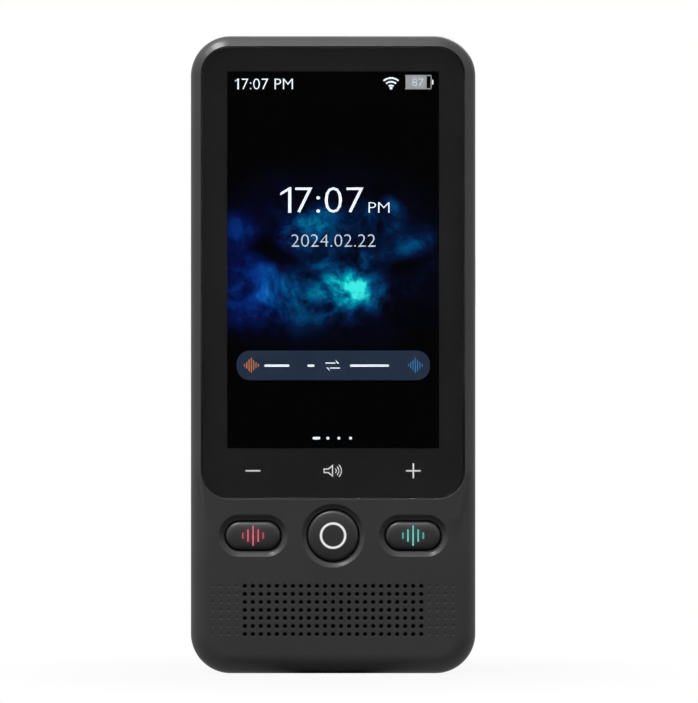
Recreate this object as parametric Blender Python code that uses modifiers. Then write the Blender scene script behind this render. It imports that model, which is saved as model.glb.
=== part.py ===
"""Handheld translator: a slim slab with a glass front, three keys and a speaker grille.

The body stands upright. X runs to the right of someone who looks at the front, Z runs up, and the
front faces -Y. The origin is the middle of the bottom edge. Depths are counted from the front face
towards the back, so a depth of zero is the front face.
"""

import math

import bmesh
import bpy
from mathutils import Matrix, Vector

mm = 0.001

# Display and cover glass
display_width = 49.8 * mm
display_height = 88.6 * mm
lcd_side_border = 1.8 * mm
lcd_top_border = 1.8 * mm
lcd_bottom_border = 3.4 * mm
lcd_thickness = 1.4 * mm
lcd_window_gap = 0.3 * mm
backlight_thickness = 1.2 * mm
glass_side_border = 5.95 * mm
glass_top_border = 6.1 * mm
glass_bottom_border = 11.7 * mm
glass_corner_radius = 6.4 * mm
glass_thickness = 0.8 * mm
glass_setback = 0.15 * mm
glass_recess_gap = 0.15 * mm
adhesive_thickness = 0.3 * mm
adhesive_inset = 0.25 * mm

# Clearances shared by the whole assembly
seat_gap = 0.2 * mm
solder_gap = 0.1 * mm
inlay_gap = 0.05 * mm
cut_overrun = 1.0 * mm

# Housings
side_rim = 2.65 * mm
top_rim = 2.3 * mm
lower_deck_height = 41.3 * mm
body_corner_radius = 9.4 * mm
front_fillet = 3.0 * mm
rear_fillet = 2.6 * mm
side_wall = 1.8 * mm
ledge_thickness = 1.15 * mm
rear_wall = 1.8 * mm
seam_gap = 0.2 * mm
tongue_depth = 0.8 * mm
tongue_thickness = 0.9 * mm
tongue_fit_gap = 0.2 * mm

# Screws and the bosses they go into
screw_head_radius = 1.2 * mm
screw_head_height = 0.7 * mm
screw_shank_radius = 0.5 * mm
screw_hole_gap = 0.15 * mm
screw_grip = 1.4 * mm
screw_tip_gap = 0.15 * mm
boss_radius = 2.0 * mm
boss_wall_overlap = 0.2 * mm

# Mid frame, main board and battery
mid_frame_thickness = 0.6 * mm
mid_frame_edge_gap = 0.3 * mm
mid_frame_bottom_margin = 1.5 * mm
mid_frame_screw_low_inset = 9.2 * mm
mid_frame_screw_high_inset = 9.7 * mm
board_thickness = 0.8 * mm
board_standoff_height = 0.6 * mm
board_screw_gap = 0.4 * mm
board_height = 45.0 * mm
board_top_margin = 2.7 * mm
board_screw_inset = 3.0 * mm
standoff_radius = 1.7 * mm
battery_inset = 2.9 * mm
battery_board_gap = 2.5 * mm
battery_thickness = 6.0 * mm
battery_bottom_margin = 2.7 * mm
battery_corner_radius = 1.5 * mm
battery_swell_gap = 0.8 * mm
battery_connector_size = Vector((7.0, 1.2, 2.6)) * mm
battery_connector_side_inset = 11.3 * mm
battery_connector_inset = 2.2 * mm

# Chips and shield cans: the processor's is placed from the middle of the board's top edge, and the
# radio's from the board's left edge and the card tray under it
chip_height = 0.8 * mm
chip_margin = 1.6 * mm
can_height = 1.6 * mm
can_wall = 0.3 * mm
processor_can_width = 20.0 * mm
processor_can_length = 17.0 * mm
processor_can_x = 3.0 * mm
processor_can_drop = 32.0 * mm
radio_can_width = 16.0 * mm
radio_can_length = 11.0 * mm
radio_can_side_inset = 12.3 * mm
radio_can_rise = 16.4 * mm

# Flex cables, as shares of the room between the battery and the screw heads
flex_width_share = 0.36
flex_spacing_share = 0.075
flex_battery_gap_share = 0.09
flex_thickness = 0.2 * mm
flex_board_overlap = 3.0 * mm
lcd_flex_tail = 1.2 * mm
key_flex_fold = 1.6 * mm

# Keys on the front, with the row's height and the home key as shares of the lower deck
key_row_share = 0.787
voice_key_share = 0.3775
voice_cap_width = 12.9 * mm
voice_cap_height = 6.55 * mm
home_cap_share = 0.144
key_gap = 0.35 * mm
voice_well_width = 1.2 * mm
home_well_width = 1.05 * mm
cap_setback = 0.3 * mm
cap_crown = 0.8 * mm
flange_margin = 0.8 * mm
flange_thickness = 0.8 * mm
key_stem_length = 1.0 * mm
key_stem_radius = 1.2 * mm
key_travel = 0.4 * mm
home_ring_outer_radius = 3.2 * mm
home_ring_inner_radius = 2.5 * mm
home_ring_depth = 0.5 * mm

# Light bars of the voice keys, the middle one and those on each side of it
bar_width = 0.45 * mm
bar_pitch = 1.2 * mm
middle_bar_height = 4.8 * mm
next_bar_height = 2.9 * mm
outer_bar_height = 1.5 * mm
guide_plate_margin = 0.45 * mm
guide_plate_thickness = 0.9 * mm
guide_cover = 1.2 * mm

# Push switches and the key board
switch_width = 4.4 * mm
switch_height = 1.4 * mm
plunger_radius = 1.0 * mm
plunger_proud = 0.7 * mm
plunger_sunk = 0.5 * mm
plunger_gap = 0.15 * mm
contact_gap = 0.1 * mm
key_board_share = 0.373
key_board_edge_gap = 0.5 * mm

# Power key in the right edge
power_key_drop = 57.8 * mm
power_key_length = 12.0 * mm
power_key_width = 3.0 * mm
power_key_proud = 0.1 * mm
power_key_travel = 0.25 * mm
power_flange_margin = 0.6 * mm
power_flange_thickness = 0.7 * mm
power_switch_length = 4.4 * mm
power_switch_width = 2.8 * mm
power_plunger_radius = 0.8 * mm
bracket_thickness = 0.6 * mm
bracket_length = 10.0 * mm
bracket_foot_share = 0.5

# Card tray and its socket in the left edge
tray_drop = 32.9 * mm
tray_plate_length = 11.8 * mm
tray_plate_width = 2.4 * mm
tray_plate_thickness = 1.4 * mm
tray_proud = 0.1 * mm
tray_frame_width = 10.4 * mm
tray_frame_thickness = 1.2 * mm
tray_frame_length = 16.0 * mm
tray_slot_gap = 0.2 * mm
card_width = 8.8 * mm
card_length = 12.3 * mm
card_thickness = 0.7 * mm
eject_hole_radius = 0.45 * mm
socket_wall = 0.4 * mm
socket_end_wall = 0.8 * mm

# Charging receptacle in the top edge
port_x = 0.8 * mm
port_width = 8.94 * mm
port_depth = 3.2 * mm
port_length = 7.3 * mm
port_corner_radius = 1.3 * mm
port_wall = 0.3 * mm
port_mouth_depth = 5.8 * mm
port_blade_width = 6.6 * mm
port_blade_thickness = 0.7 * mm
port_setback = 0.5 * mm
port_wall_gap = 0.25 * mm

# Speaker, with its grille in the front housing
grille_columns = 23
grille_rows = 7
grille_pitch_share = 0.04562
grille_hole_radius = 0.5 * mm
grille_hole_sides = 8
grille_share = 0.3632
grille_thickness = 1.2 * mm
grille_pocket_margin = 0.8 * mm
grille_pocket_radius = 2.0 * mm
mesh_thickness = 0.2 * mm
gasket_thickness = 1.2 * mm
gasket_width = 1.2 * mm
basket_margin = 1.0 * mm
basket_depth = 5.0 * mm
basket_wall = 1.2 * mm
basket_floor = 0.8 * mm
basket_ear_radius = 1.8 * mm
basket_ear_thickness = 0.9 * mm
speaker_boss_radius = 1.6 * mm
speaker_boss_height = 2.0 * mm
diaphragm_drop = 0.9 * mm
diaphragm_thickness = 0.4 * mm
diaphragm_gap = 0.4 * mm
diaphragm_excursion = 0.25 * mm
magnet_width = 17.0 * mm
magnet_height = 4.4 * mm
coil_gap = 0.5 * mm
coil_wall = 0.6 * mm
coil_depth = 1.8 * mm

# Microphones, antennas
microphone_size = Vector((3.5, 2.6, 1.0)) * mm
microphone_hole_radius = 0.5 * mm
lower_microphone_side_inset = 21.5 * mm
upper_microphone_side_inset = 19.5 * mm
antenna_thickness = 0.2 * mm
wireless_antenna_width = 24.0 * mm
wireless_antenna_height = 9.0 * mm
wireless_antenna_side_inset = 19.5 * mm
wireless_antenna_drop = 14.0 * mm
cellular_antenna_width = 42.0 * mm
cellular_antenna_height = 8.0 * mm
cellular_antenna_z = 10.0 * mm

# Rear camera and its flash
camera_side_inset = 16.5 * mm
camera_drop = 17.0 * mm
camera_width = 8.5 * mm
camera_height = 4.0 * mm
barrel_radius = 2.9 * mm
barrel_rear_gap = 0.3 * mm
camera_hole_radius = 3.6 * mm
camera_window_radius = 4.6 * mm
window_thickness = 0.7 * mm
window_setback = 0.1 * mm
window_gap = 0.15 * mm
flash_spacing = 11.0 * mm
flash_led_width = 2.0 * mm
flash_led_height = 0.7 * mm
flash_lens_radius = 2.2 * mm
flash_pipe_radius = 1.2 * mm

# Fineness of round shapes
corner_steps = 8
fillet_steps = 4
small_corner_steps = 4
crown_steps = 3
bar_end_steps = 3
round_steps = 24
small_round_steps = 16
screw_steps = 10
pill_steps = 26
pill_round_share = 0.95
merge_distance = 0.001 * mm
weld_distance = 0.01 * mm
smooth_angle = math.radians(35)

# Heights and widths that follow from the sizes above
glass_width = display_width + 2 * glass_side_border
glass_bottom = lower_deck_height
display_bottom = glass_bottom + glass_bottom_border
display_top = display_bottom + display_height
glass_top = display_top + glass_top_border
body_width = glass_width + 2 * side_rim
body_height = glass_top + top_rim
inner_half_width = body_width / 2 - side_wall
inner_top = body_height - side_wall
inner_corner_radius = body_corner_radius - side_wall
battery_width = display_width - 2 * battery_inset
key_row_z = lower_deck_height * key_row_share
home_cap_radius = lower_deck_height * home_cap_share
key_board_height = lower_deck_height * key_board_share
grille_z = lower_deck_height * grille_share
grille_pitch = lower_deck_height * grille_pitch_share
voice_key_x = display_width * voice_key_share
lower_microphone_x = lower_microphone_side_inset - body_width / 2
upper_microphone_x = upper_microphone_side_inset - body_width / 2
wireless_antenna_x = wireless_antenna_side_inset - body_width / 2
camera_x = body_width / 2 - camera_side_inset
flash_x = camera_x - flash_spacing
power_key_z = body_height - power_key_drop
tray_z = body_height - tray_drop
camera_z = body_height - camera_drop
wireless_antenna_z = body_height - wireless_antenna_drop
lcd_half_width = display_width / 2 + lcd_side_border
lcd_bottom = display_bottom - lcd_bottom_border
lcd_top = display_top + lcd_top_border

# Depths of the layers, from the front face towards the back
glass_back_depth = glass_setback + glass_thickness
adhesive_depth = glass_back_depth + seat_gap
ledge_depth = adhesive_depth + adhesive_thickness + seat_gap
deck_back_depth = ledge_depth + ledge_thickness
lcd_depth = glass_back_depth + seat_gap
backlight_depth = lcd_depth + lcd_thickness + seat_gap
mid_frame_depth = backlight_depth + backlight_thickness + seat_gap
mid_frame_back_depth = mid_frame_depth + mid_frame_thickness
battery_depth = mid_frame_back_depth + seat_gap
battery_back_depth = battery_depth + battery_thickness
board_depth = mid_frame_back_depth + board_standoff_height
board_back_depth = board_depth + board_thickness
chip_depth = board_back_depth + solder_gap
rear_inner_depth = battery_back_depth + battery_swell_gap
body_depth = rear_inner_depth + rear_wall
tongue_front_depth = chip_depth + port_depth + port_wall_gap
parting_depth = tongue_front_depth + tongue_depth
key_flange_depth = deck_back_depth + seat_gap
key_stem_depth = key_flange_depth + flange_thickness
plunger_depth = key_stem_depth + key_stem_length + contact_gap
switch_depth = plunger_depth + plunger_proud
key_board_depth = switch_depth + switch_height + solder_gap
key_board_back_depth = key_board_depth + board_thickness
socket_depth = tray_frame_thickness + 2 * (tray_slot_gap + socket_wall)
side_feature_depth = chip_depth + socket_depth / 2
mesh_depth = grille_thickness + seat_gap
gasket_depth = mesh_depth + mesh_thickness + seat_gap
basket_front_depth = gasket_depth + gasket_thickness + seat_gap
basket_back_depth = basket_front_depth + basket_depth

# Outlines that more than one piece follows
voice_cap_straight = voice_cap_width - voice_cap_height
window_half_width = lcd_half_width + lcd_window_gap
grille_pocket_width = (grille_columns - 1) * grille_pitch + 2 * (grille_hole_radius + grille_pocket_margin)
grille_pocket_height = (grille_rows - 1) * grille_pitch + 2 * (grille_hole_radius + grille_pocket_margin)
basket_screw_x = grille_pocket_width / 2 + basket_margin + basket_ear_radius
boss_x = inner_half_width - boss_radius + boss_wall_overlap
mid_frame_screw_places = [
    (side * boss_x, height)
    for side in (-1, 1)
    for height in (glass_bottom + mid_frame_screw_low_inset, glass_top - mid_frame_screw_high_inset)
]
key_board_screw_places = [(side * boss_x, key_row_z) for side in (-1, 1)]
basket_screw_places = [(side * basket_screw_x, grille_z) for side in (-1, 1)]
board_half_width = boss_x - screw_head_radius - board_screw_gap
board_top = inner_top - board_top_margin
board_bottom = board_top - board_height
battery_connector_x = battery_connector_side_inset - board_half_width
processor_can_z = board_top - processor_can_drop
radio_can_x = radio_can_side_inset - board_half_width
radio_can_z = tray_z + radio_can_rise
battery_low = glass_bottom + battery_bottom_margin
battery_high = board_bottom - battery_board_gap
flex_room = boss_x - screw_head_radius - battery_width / 2
flex_width = flex_room * flex_width_share
flex_spacing = flex_room * flex_spacing_share
flex_battery_gap = flex_room * flex_battery_gap_share
board_screw_places = [
    (board_half_width - board_screw_inset, board_bottom + board_screw_inset),
    (board_screw_inset - board_half_width, board_top - board_screw_inset),
]
speaker_boss_back_depth = deck_back_depth + speaker_boss_height
pilot_hole_radius = screw_shank_radius + screw_hole_gap

# Directions in which the top of a turned piece points
facing_front = (math.pi / 2, 0, 0)
facing_rear = (-math.pi / 2, 0, 0)
facing_right = (0, math.pi / 2, 0)
facing_up = (0, 0, 0)

for leftover in list(bpy.data.objects):
    bpy.data.objects.remove(leftover, do_unlink=True)

parts = bpy.data.collections.new("handheld_translator")
cutters = bpy.data.collections.new("cutters")
bpy.context.scene.collection.children.link(parts)
bpy.context.scene.collection.children.link(cutters)


def finish(name, colour, roughness, metallic=0.0, glow=None):
    """A Principled material with one colour, and a light of its own where glow is given."""
    material = bpy.data.materials.new(name)
    material.use_nodes = True
    shader = material.node_tree.nodes["Principled BSDF"]
    shader.inputs["Base Color"].default_value = (*colour, 1)
    shader.inputs["Roughness"].default_value = roughness
    shader.inputs["Metallic"].default_value = metallic
    if glow:
        shader.inputs["Emission Color"].default_value = (*glow, 1)
        shader.inputs["Emission Strength"].default_value = 1
    material.diffuse_color = (*colour, 1)
    return material


charcoal_plastic = finish("charcoal_plastic", (0.040, 0.040, 0.042), 0.55)
key_plastic = finish("key_plastic", (0.045, 0.045, 0.047), 0.40)
black_glass = finish("black_glass", (0.014, 0.014, 0.016), 0.08)
display_stack = finish("display_stack", (0.004, 0.006, 0.012), 0.20)
foam_tape = finish("foam_tape", (0.020, 0.020, 0.020), 0.90)
bright_steel = finish("bright_steel", (0.62, 0.63, 0.64), 0.32, 1.0)
frame_alloy = finish("frame_alloy", (0.55, 0.56, 0.58), 0.45, 1.0)
board_laminate = finish("board_laminate", (0.015, 0.090, 0.050), 0.45)
chip_epoxy = finish("chip_epoxy", (0.018, 0.018, 0.020), 0.50)
flex_film = finish("flex_film", (0.330, 0.130, 0.030), 0.40)
battery_pouch = finish("battery_pouch", (0.380, 0.390, 0.400), 0.40)
connector_nylon = finish("connector_nylon", (0.700, 0.680, 0.620), 0.55)
cone_paper = finish("cone_paper", (0.030, 0.030, 0.032), 0.70)
magnet_alloy = finish("magnet_alloy", (0.450, 0.450, 0.460), 0.35, 1.0)
copper_wire = finish("copper_wire", (0.620, 0.240, 0.100), 0.35, 1.0)
lens_glass = finish("lens_glass", (0.020, 0.022, 0.030), 0.05)
flash_resin = finish("flash_resin", (0.850, 0.820, 0.600), 0.25)
red_guide = finish("red_guide", (0.640, 0.120, 0.190), 0.30, glow=(0.640, 0.120, 0.190))
teal_guide = finish("teal_guide", (0.120, 0.600, 0.580), 0.30, glow=(0.120, 0.600, 0.580))
white_inlay = finish("white_inlay", (0.850, 0.850, 0.850), 0.35)


def place(x, depth, z):
    """A point of the body, with its depth counted from the front face."""
    return Vector((x, depth - body_depth / 2, z))


def add_object(name, mesh, location, material, collection):
    """Link a mesh as one object, and hide it from renders where it is a cutter."""
    solid = bpy.data.objects.new(name, mesh)
    solid.location = location
    mesh.materials.append(material)
    collection.objects.link(solid)
    if collection is cutters:
        solid.hide_render = True
        solid.display_type = "WIRE"
    return solid


def block(name, low, high, material, collection=parts, corner=0, corner_axis=1, steps=small_corner_steps,
          front=0, rear=0, edge_steps=crown_steps):
    """A box between two corners (x, depth, z), with rounded corners and rounded front or rear edges.

    corner rounds the four edges that run along corner_axis: 0 is X, 1 is the depth and 2 is Z.
    """
    size = Vector(high) - Vector(low)
    middle = (Vector(high) + Vector(low)) / 2
    shape = bmesh.new()
    bmesh.ops.create_cube(shape, size=1, matrix=Matrix.Diagonal((*size, 1)))
    if corner:
        along = [edge for edge in shape.edges
                 if abs((edge.verts[1].co - edge.verts[0].co)[corner_axis]) > size[corner_axis] / 2]
        bmesh.ops.bevel(shape, geom=along, offset=corner, segments=steps, profile=0.5, affect="EDGES")
    for radius, side in ((front, -1), (rear, 1)):
        if radius:
            rim = [edge for edge in shape.edges
                   if any(face.normal.y * side > 0.9 for face in edge.link_faces)]
            bmesh.ops.bevel(shape, geom=rim, offset=radius, segments=edge_steps, profile=0.5, affect="EDGES")
    mesh = bpy.data.meshes.new(name)
    shape.to_mesh(mesh)
    shape.free()
    mesh.shade_smooth()
    mesh.set_sharp_from_angle(angle=smooth_angle)
    return add_object(name, mesh, place(*middle), material, collection)


def turned(name, profile, location, direction, material, collection=parts, steps=small_round_steps,
           ring=False):
    """A solid of revolution from (radius, height) points, outer side first and from the top down."""
    points = [(radius, 0, height) for radius, height in profile]
    edges = [(index, index + 1) for index in range(len(points) - 1)]
    if ring:
        edges.append((len(points) - 1, 0))
    mesh = bpy.data.meshes.new(name)
    mesh.from_pydata(points, edges, [])
    solid = add_object(name, mesh, location, material, collection)
    solid.rotation_euler = direction
    turn = solid.modifiers.new("turn", "SCREW")
    turn.axis = "Z"
    turn.steps = steps
    turn.render_steps = steps
    turn.use_merge_vertices = True
    turn.merge_threshold = merge_distance
    turn.use_smooth_shade = True
    return solid


def pill(name, profile, straight, x, material, collection=parts):
    """A solid turned from (radius, height) points and pulled apart along X by a straight stretch.

    It stands at the key row with its top to the front. The step count leaves no point at the middle.
    """
    shape = bmesh.new()
    points = [shape.verts.new((radius, 0, height)) for radius, height in profile]
    edges = [shape.edges.new(pair) for pair in zip(points, points[1:])]
    bmesh.ops.spin(shape, geom=points + edges, cent=(0, 0, 0), axis=(0, 0, 1), angle=2 * math.pi,
                   steps=pill_steps, use_merge=True)
    bmesh.ops.remove_doubles(shape, verts=shape.verts, dist=merge_distance)
    bmesh.ops.holes_fill(shape, edges=shape.edges, sides=pill_steps)
    for vert in shape.verts:
        vert.co.x += math.copysign(straight / 2, vert.co.x)
    bmesh.ops.recalc_face_normals(shape, faces=shape.faces)
    mesh = bpy.data.meshes.new(name)
    shape.to_mesh(mesh)
    shape.free()
    mesh.shade_smooth()
    mesh.set_sharp_from_angle(angle=smooth_angle)
    solid = add_object(name, mesh, place(x, 0, key_row_z), material, collection)
    solid.rotation_euler = facing_front
    return solid


def rod(name, radius, top, bottom, location, direction, material, collection=parts, steps=small_round_steps):
    """A plain cylinder between two heights on its axis."""
    profile = [(0, top), (radius, top), (radius, bottom), (0, bottom)]
    return turned(name, profile, location, direction, material, collection, steps)


def combine(target, tool, operation):
    """Add a Boolean modifier to target that uses tool."""
    change = target.modifiers.new(operation.lower() + " " + tool.name, "BOOLEAN")
    change.operation = operation
    change.solver = "EXACT"
    change.object = tool


def join(target, *tools):
    """Unite solids with target."""
    for tool in tools:
        combine(target, tool, "UNION")


def cut(target, *tools):
    """Take solids away from target."""
    for tool in tools:
        combine(target, tool, "DIFFERENCE")


def depth_rod(name, radius, front_depth, back_depth, x, z, material=charcoal_plastic, collection=cutters,
              steps=small_round_steps):
    """A cylinder along the depth at (x, z), between two depths."""
    top = back_depth - front_depth
    return rod(name, radius, top, 0, place(x, front_depth, z), facing_rear, material, collection, steps)


def screw(name, head_depth, grip, x, z):
    """A flat headed screw put in from the rear: its head rests at head_depth, its shank goes forward."""
    profile = [
        (0, screw_head_height),
        (screw_head_radius, screw_head_height),
        (screw_head_radius, 0),
        (screw_shank_radius, 0),
        (screw_shank_radius, -grip),
        (0, -grip),
    ]
    return turned(name, profile, place(x, head_depth, z), facing_rear, bright_steel, steps=screw_steps)


# Front housing: one moulding with the deck, the side walls, the bosses, the wells and the grille
def key_opening(label, x, cap_radius, straight, well_width):
    """The well of a key, whose slope runs in to the hole, as one cutter.

    The slope starts in front of the face, so that it leaves the face at the well's full width.
    """
    hole_radius = cap_radius + key_gap
    profile = [
        (hole_radius + well_width + cut_overrun, cut_overrun),
        (hole_radius, -well_width),
        (hole_radius, -deck_back_depth - cut_overrun),
    ]
    return pill(f"{label}_key_opening", profile, straight, x, charcoal_plastic, cutters)


def grille_holes():
    """All holes of the grille as one cutter, column by column."""
    length = grille_thickness + 2 * cut_overrun
    upright = Matrix.Rotation(math.pi / 2, 4, "X")
    shape = bmesh.new()
    for column in range(grille_columns):
        for row in range(grille_rows):
            x = (column - (grille_columns - 1) / 2) * grille_pitch
            z = (row - (grille_rows - 1) / 2) * grille_pitch
            bmesh.ops.create_cone(
                shape, cap_ends=True, segments=grille_hole_sides, radius1=grille_hole_radius,
                radius2=grille_hole_radius, depth=length, matrix=Matrix.Translation((x, 0, z)) @ upright,
            )
    mesh = bpy.data.meshes.new("grille_holes")
    shape.to_mesh(mesh)
    shape.free()
    middle = place(0, grille_thickness / 2, grille_z)
    return add_object("grille_holes", mesh, middle, charcoal_plastic, cutters)


def housing_bosses():
    """Bosses for the mid frame, the key board and the speaker, each up to what rests on it."""
    bosses = []
    pilots = []
    groups = (
        ("mid_frame", mid_frame_screw_places, boss_radius, mid_frame_depth - seat_gap, mid_frame_back_depth),
        ("key_board", key_board_screw_places, boss_radius, key_board_depth - seat_gap, key_board_back_depth),
        ("speaker", basket_screw_places, speaker_boss_radius, speaker_boss_back_depth,
         speaker_boss_back_depth + seat_gap + basket_ear_thickness),
    )
    for label, places, radius, back_depth, grip_depth in groups:
        for number, (x, z) in enumerate(places):
            tip_depth = grip_depth + seat_gap - screw_length(grip_depth, back_depth)
            bosses.append(depth_rod(f"{label}_boss_{number}", radius, deck_back_depth - ledge_thickness / 2,
                                    back_depth, x, z))
            pilots.append(depth_rod(f"{label}_pilot_{number}", pilot_hole_radius, tip_depth - screw_tip_gap,
                                    back_depth + cut_overrun, x, z))
    return bosses, pilots


def screw_length(clamped_back_depth, boss_back_depth):
    """Length of a shank: through the clamped sheet and its seats, then its grip in the boss."""
    return clamped_back_depth + seat_gap - boss_back_depth + screw_grip


def make_front_housing():
    half = body_width / 2
    housing = block(
        "front_housing", (-half, 0, 0), (half, parting_depth, body_height), charcoal_plastic,
        corner=body_corner_radius, steps=corner_steps, front=front_fillet, edge_steps=fillet_steps,
    )
    cavity = block(
        "front_cavity", (-inner_half_width, deck_back_depth, side_wall),
        (inner_half_width, parting_depth + cut_overrun, inner_top),
        charcoal_plastic, cutters, corner=inner_corner_radius, steps=corner_steps,
    )
    recess_half = glass_width / 2 + glass_recess_gap
    recess = block(
        "glass_recess", (-recess_half, -cut_overrun, glass_bottom - glass_recess_gap),
        (recess_half, ledge_depth, glass_top + glass_recess_gap),
        charcoal_plastic, cutters, corner=glass_corner_radius + glass_recess_gap, steps=corner_steps,
    )
    window = block(
        "display_opening", (-window_half_width, -cut_overrun, lcd_bottom - lcd_window_gap),
        (window_half_width, deck_back_depth + cut_overrun, lcd_top + lcd_window_gap),
        charcoal_plastic, cutters,
    )
    pocket = block(
        "grille_pocket", (-grille_pocket_width / 2, grille_thickness, grille_z - grille_pocket_height / 2),
        (grille_pocket_width / 2, deck_back_depth + cut_overrun, grille_z + grille_pocket_height / 2),
        charcoal_plastic, cutters, corner=grille_pocket_radius,
    )
    cut(housing, grille_holes())
    cut(housing, cavity)
    bosses, pilots = housing_bosses()
    join(housing, *bosses)
    cut(housing, *pilots)
    cut(housing, recess, window, pocket)
    voice_radius = voice_cap_height / 2
    cut(
        housing,
        key_opening("left", -voice_key_x, voice_radius, voice_cap_straight, voice_well_width),
        key_opening("right", voice_key_x, voice_radius, voice_cap_straight, voice_well_width),
        key_opening("home", 0, home_cap_radius, 0, home_well_width),
    )
    cut(housing, *edge_openings())


def edge_openings():
    """Cutters for the side walls: power key slot, card slot, port hole and microphone holes."""
    inside = inner_half_width - cut_overrun
    outside = body_width / 2 + cut_overrun
    key_half_length = power_key_length / 2 + tray_slot_gap
    key_half_width = power_key_width / 2 + tray_slot_gap
    power_slot = block(
        "power_key_slot",
        (inside, side_feature_depth - key_half_width, power_key_z - key_half_length),
        (outside, side_feature_depth + key_half_width, power_key_z + key_half_length),
        charcoal_plastic, cutters, corner=key_half_width * pill_round_share, corner_axis=0,
    )
    tray_half_length = tray_plate_length / 2 + tray_slot_gap
    tray_half_width = tray_plate_width / 2 + tray_slot_gap
    card_slot = block(
        "card_slot",
        (-outside, side_feature_depth - tray_half_width, tray_z - tray_half_length),
        (-inside, side_feature_depth + tray_half_width, tray_z + tray_half_length),
        charcoal_plastic, cutters, corner=tray_half_width * pill_round_share, corner_axis=0,
    )
    port_hole = block(
        "port_hole",
        (port_x - port_width / 2 - port_wall_gap, chip_depth - port_wall_gap, inner_top - cut_overrun),
        (port_x + port_width / 2 + port_wall_gap, chip_depth + port_depth + port_wall_gap,
         body_height + cut_overrun),
        charcoal_plastic, cutters, corner=port_corner_radius + port_wall_gap, corner_axis=2,
    )
    hole_length = side_wall + 2 * cut_overrun
    lower_hole = rod("lower_microphone_hole", microphone_hole_radius, hole_length, 0,
                     place(lower_microphone_x, side_feature_depth, -cut_overrun), facing_up,
                     charcoal_plastic, cutters)
    upper_hole = rod("upper_microphone_hole", microphone_hole_radius, hole_length, 0,
                     place(upper_microphone_x, side_feature_depth, inner_top - cut_overrun), facing_up,
                     charcoal_plastic, cutters)
    return power_slot, card_slot, port_hole, lower_hole, upper_hole


# Rear housing: shallow shell whose tongue snaps inside the front housing's wall
def make_rear_housing():
    half = body_width / 2
    shell = block(
        "rear_housing", (-half, parting_depth + seam_gap, 0), (half, body_depth, body_height),
        charcoal_plastic, corner=body_corner_radius, steps=corner_steps, rear=rear_fillet,
        edge_steps=fillet_steps,
    )
    tongue_half = inner_half_width - tongue_fit_gap
    tongue = block(
        "tongue", (-tongue_half, tongue_front_depth, side_wall + tongue_fit_gap),
        (tongue_half, (parting_depth + rear_inner_depth) / 2 + seam_gap, inner_top - tongue_fit_gap),
        charcoal_plastic, cutters, corner=inner_corner_radius - tongue_fit_gap, steps=corner_steps,
    )
    cavity_half = tongue_half - tongue_thickness
    cavity_end = side_wall + tongue_fit_gap + tongue_thickness
    cavity = block(
        "rear_cavity", (-cavity_half, tongue_front_depth - cut_overrun, cavity_end),
        (cavity_half, rear_inner_depth, body_height - cavity_end),
        charcoal_plastic, cutters, corner=inner_corner_radius - tongue_fit_gap - tongue_thickness,
        steps=corner_steps,
    )
    join(shell, tongue)
    cut(shell, cavity)
    post_x = (voice_key_x - voice_cap_width / 2 + home_cap_radius) / 2
    posts = [
        depth_rod(f"key_board_post_{side}", standoff_radius, key_board_back_depth + seat_gap,
                  rear_inner_depth + rear_wall / 2, side * post_x, key_row_z)
        for side in (-1, 1)
    ]
    join(shell, *posts)
    seat_step = -window_setback - window_thickness - window_gap
    hole_end = rear_inner_depth - cut_overrun - body_depth
    openings = (
        ("camera", camera_x, camera_hole_radius, camera_window_radius),
        ("flash", flash_x, flash_pipe_radius + window_gap, flash_lens_radius),
    )
    for label, x, hole_radius, window_radius in openings:
        seat_radius = window_radius + window_gap
        profile = [
            (0, cut_overrun),
            (seat_radius, cut_overrun),
            (seat_radius, seat_step),
            (hole_radius, seat_step),
            (hole_radius, hole_end),
            (0, hole_end),
        ]
        cut(shell, turned(f"{label}_opening", profile, place(x, body_depth, camera_z), facing_rear,
                          charcoal_plastic, cutters, round_steps))


# Cover glass, its adhesive frame, the display panel and the backlight tray behind it
def make_display():
    half = glass_width / 2
    block(
        "cover_glass", (-half, glass_setback, glass_bottom), (half, glass_back_depth, glass_top), black_glass,
        corner=glass_corner_radius, steps=corner_steps,
    )
    tape_half = half - adhesive_inset
    tape = block(
        "glass_adhesive_frame", (-tape_half, adhesive_depth, glass_bottom + adhesive_inset),
        (tape_half, adhesive_depth + adhesive_thickness, glass_top - adhesive_inset), foam_tape,
        corner=glass_corner_radius - adhesive_inset, steps=corner_steps,
    )
    cut(tape, block(
        "adhesive_opening", (-window_half_width, adhesive_depth - cut_overrun, lcd_bottom - lcd_window_gap),
        (window_half_width, adhesive_depth + adhesive_thickness + cut_overrun, lcd_top + lcd_window_gap),
        foam_tape, cutters,
    ))
    block("lcd_panel", (-lcd_half_width, lcd_depth, lcd_bottom),
          (lcd_half_width, lcd_depth + lcd_thickness, lcd_top), display_stack)
    block("lcd_backlight_tray", (-lcd_half_width, backlight_depth, lcd_bottom),
          (lcd_half_width, backlight_depth + backlight_thickness, lcd_top), frame_alloy)


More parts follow.
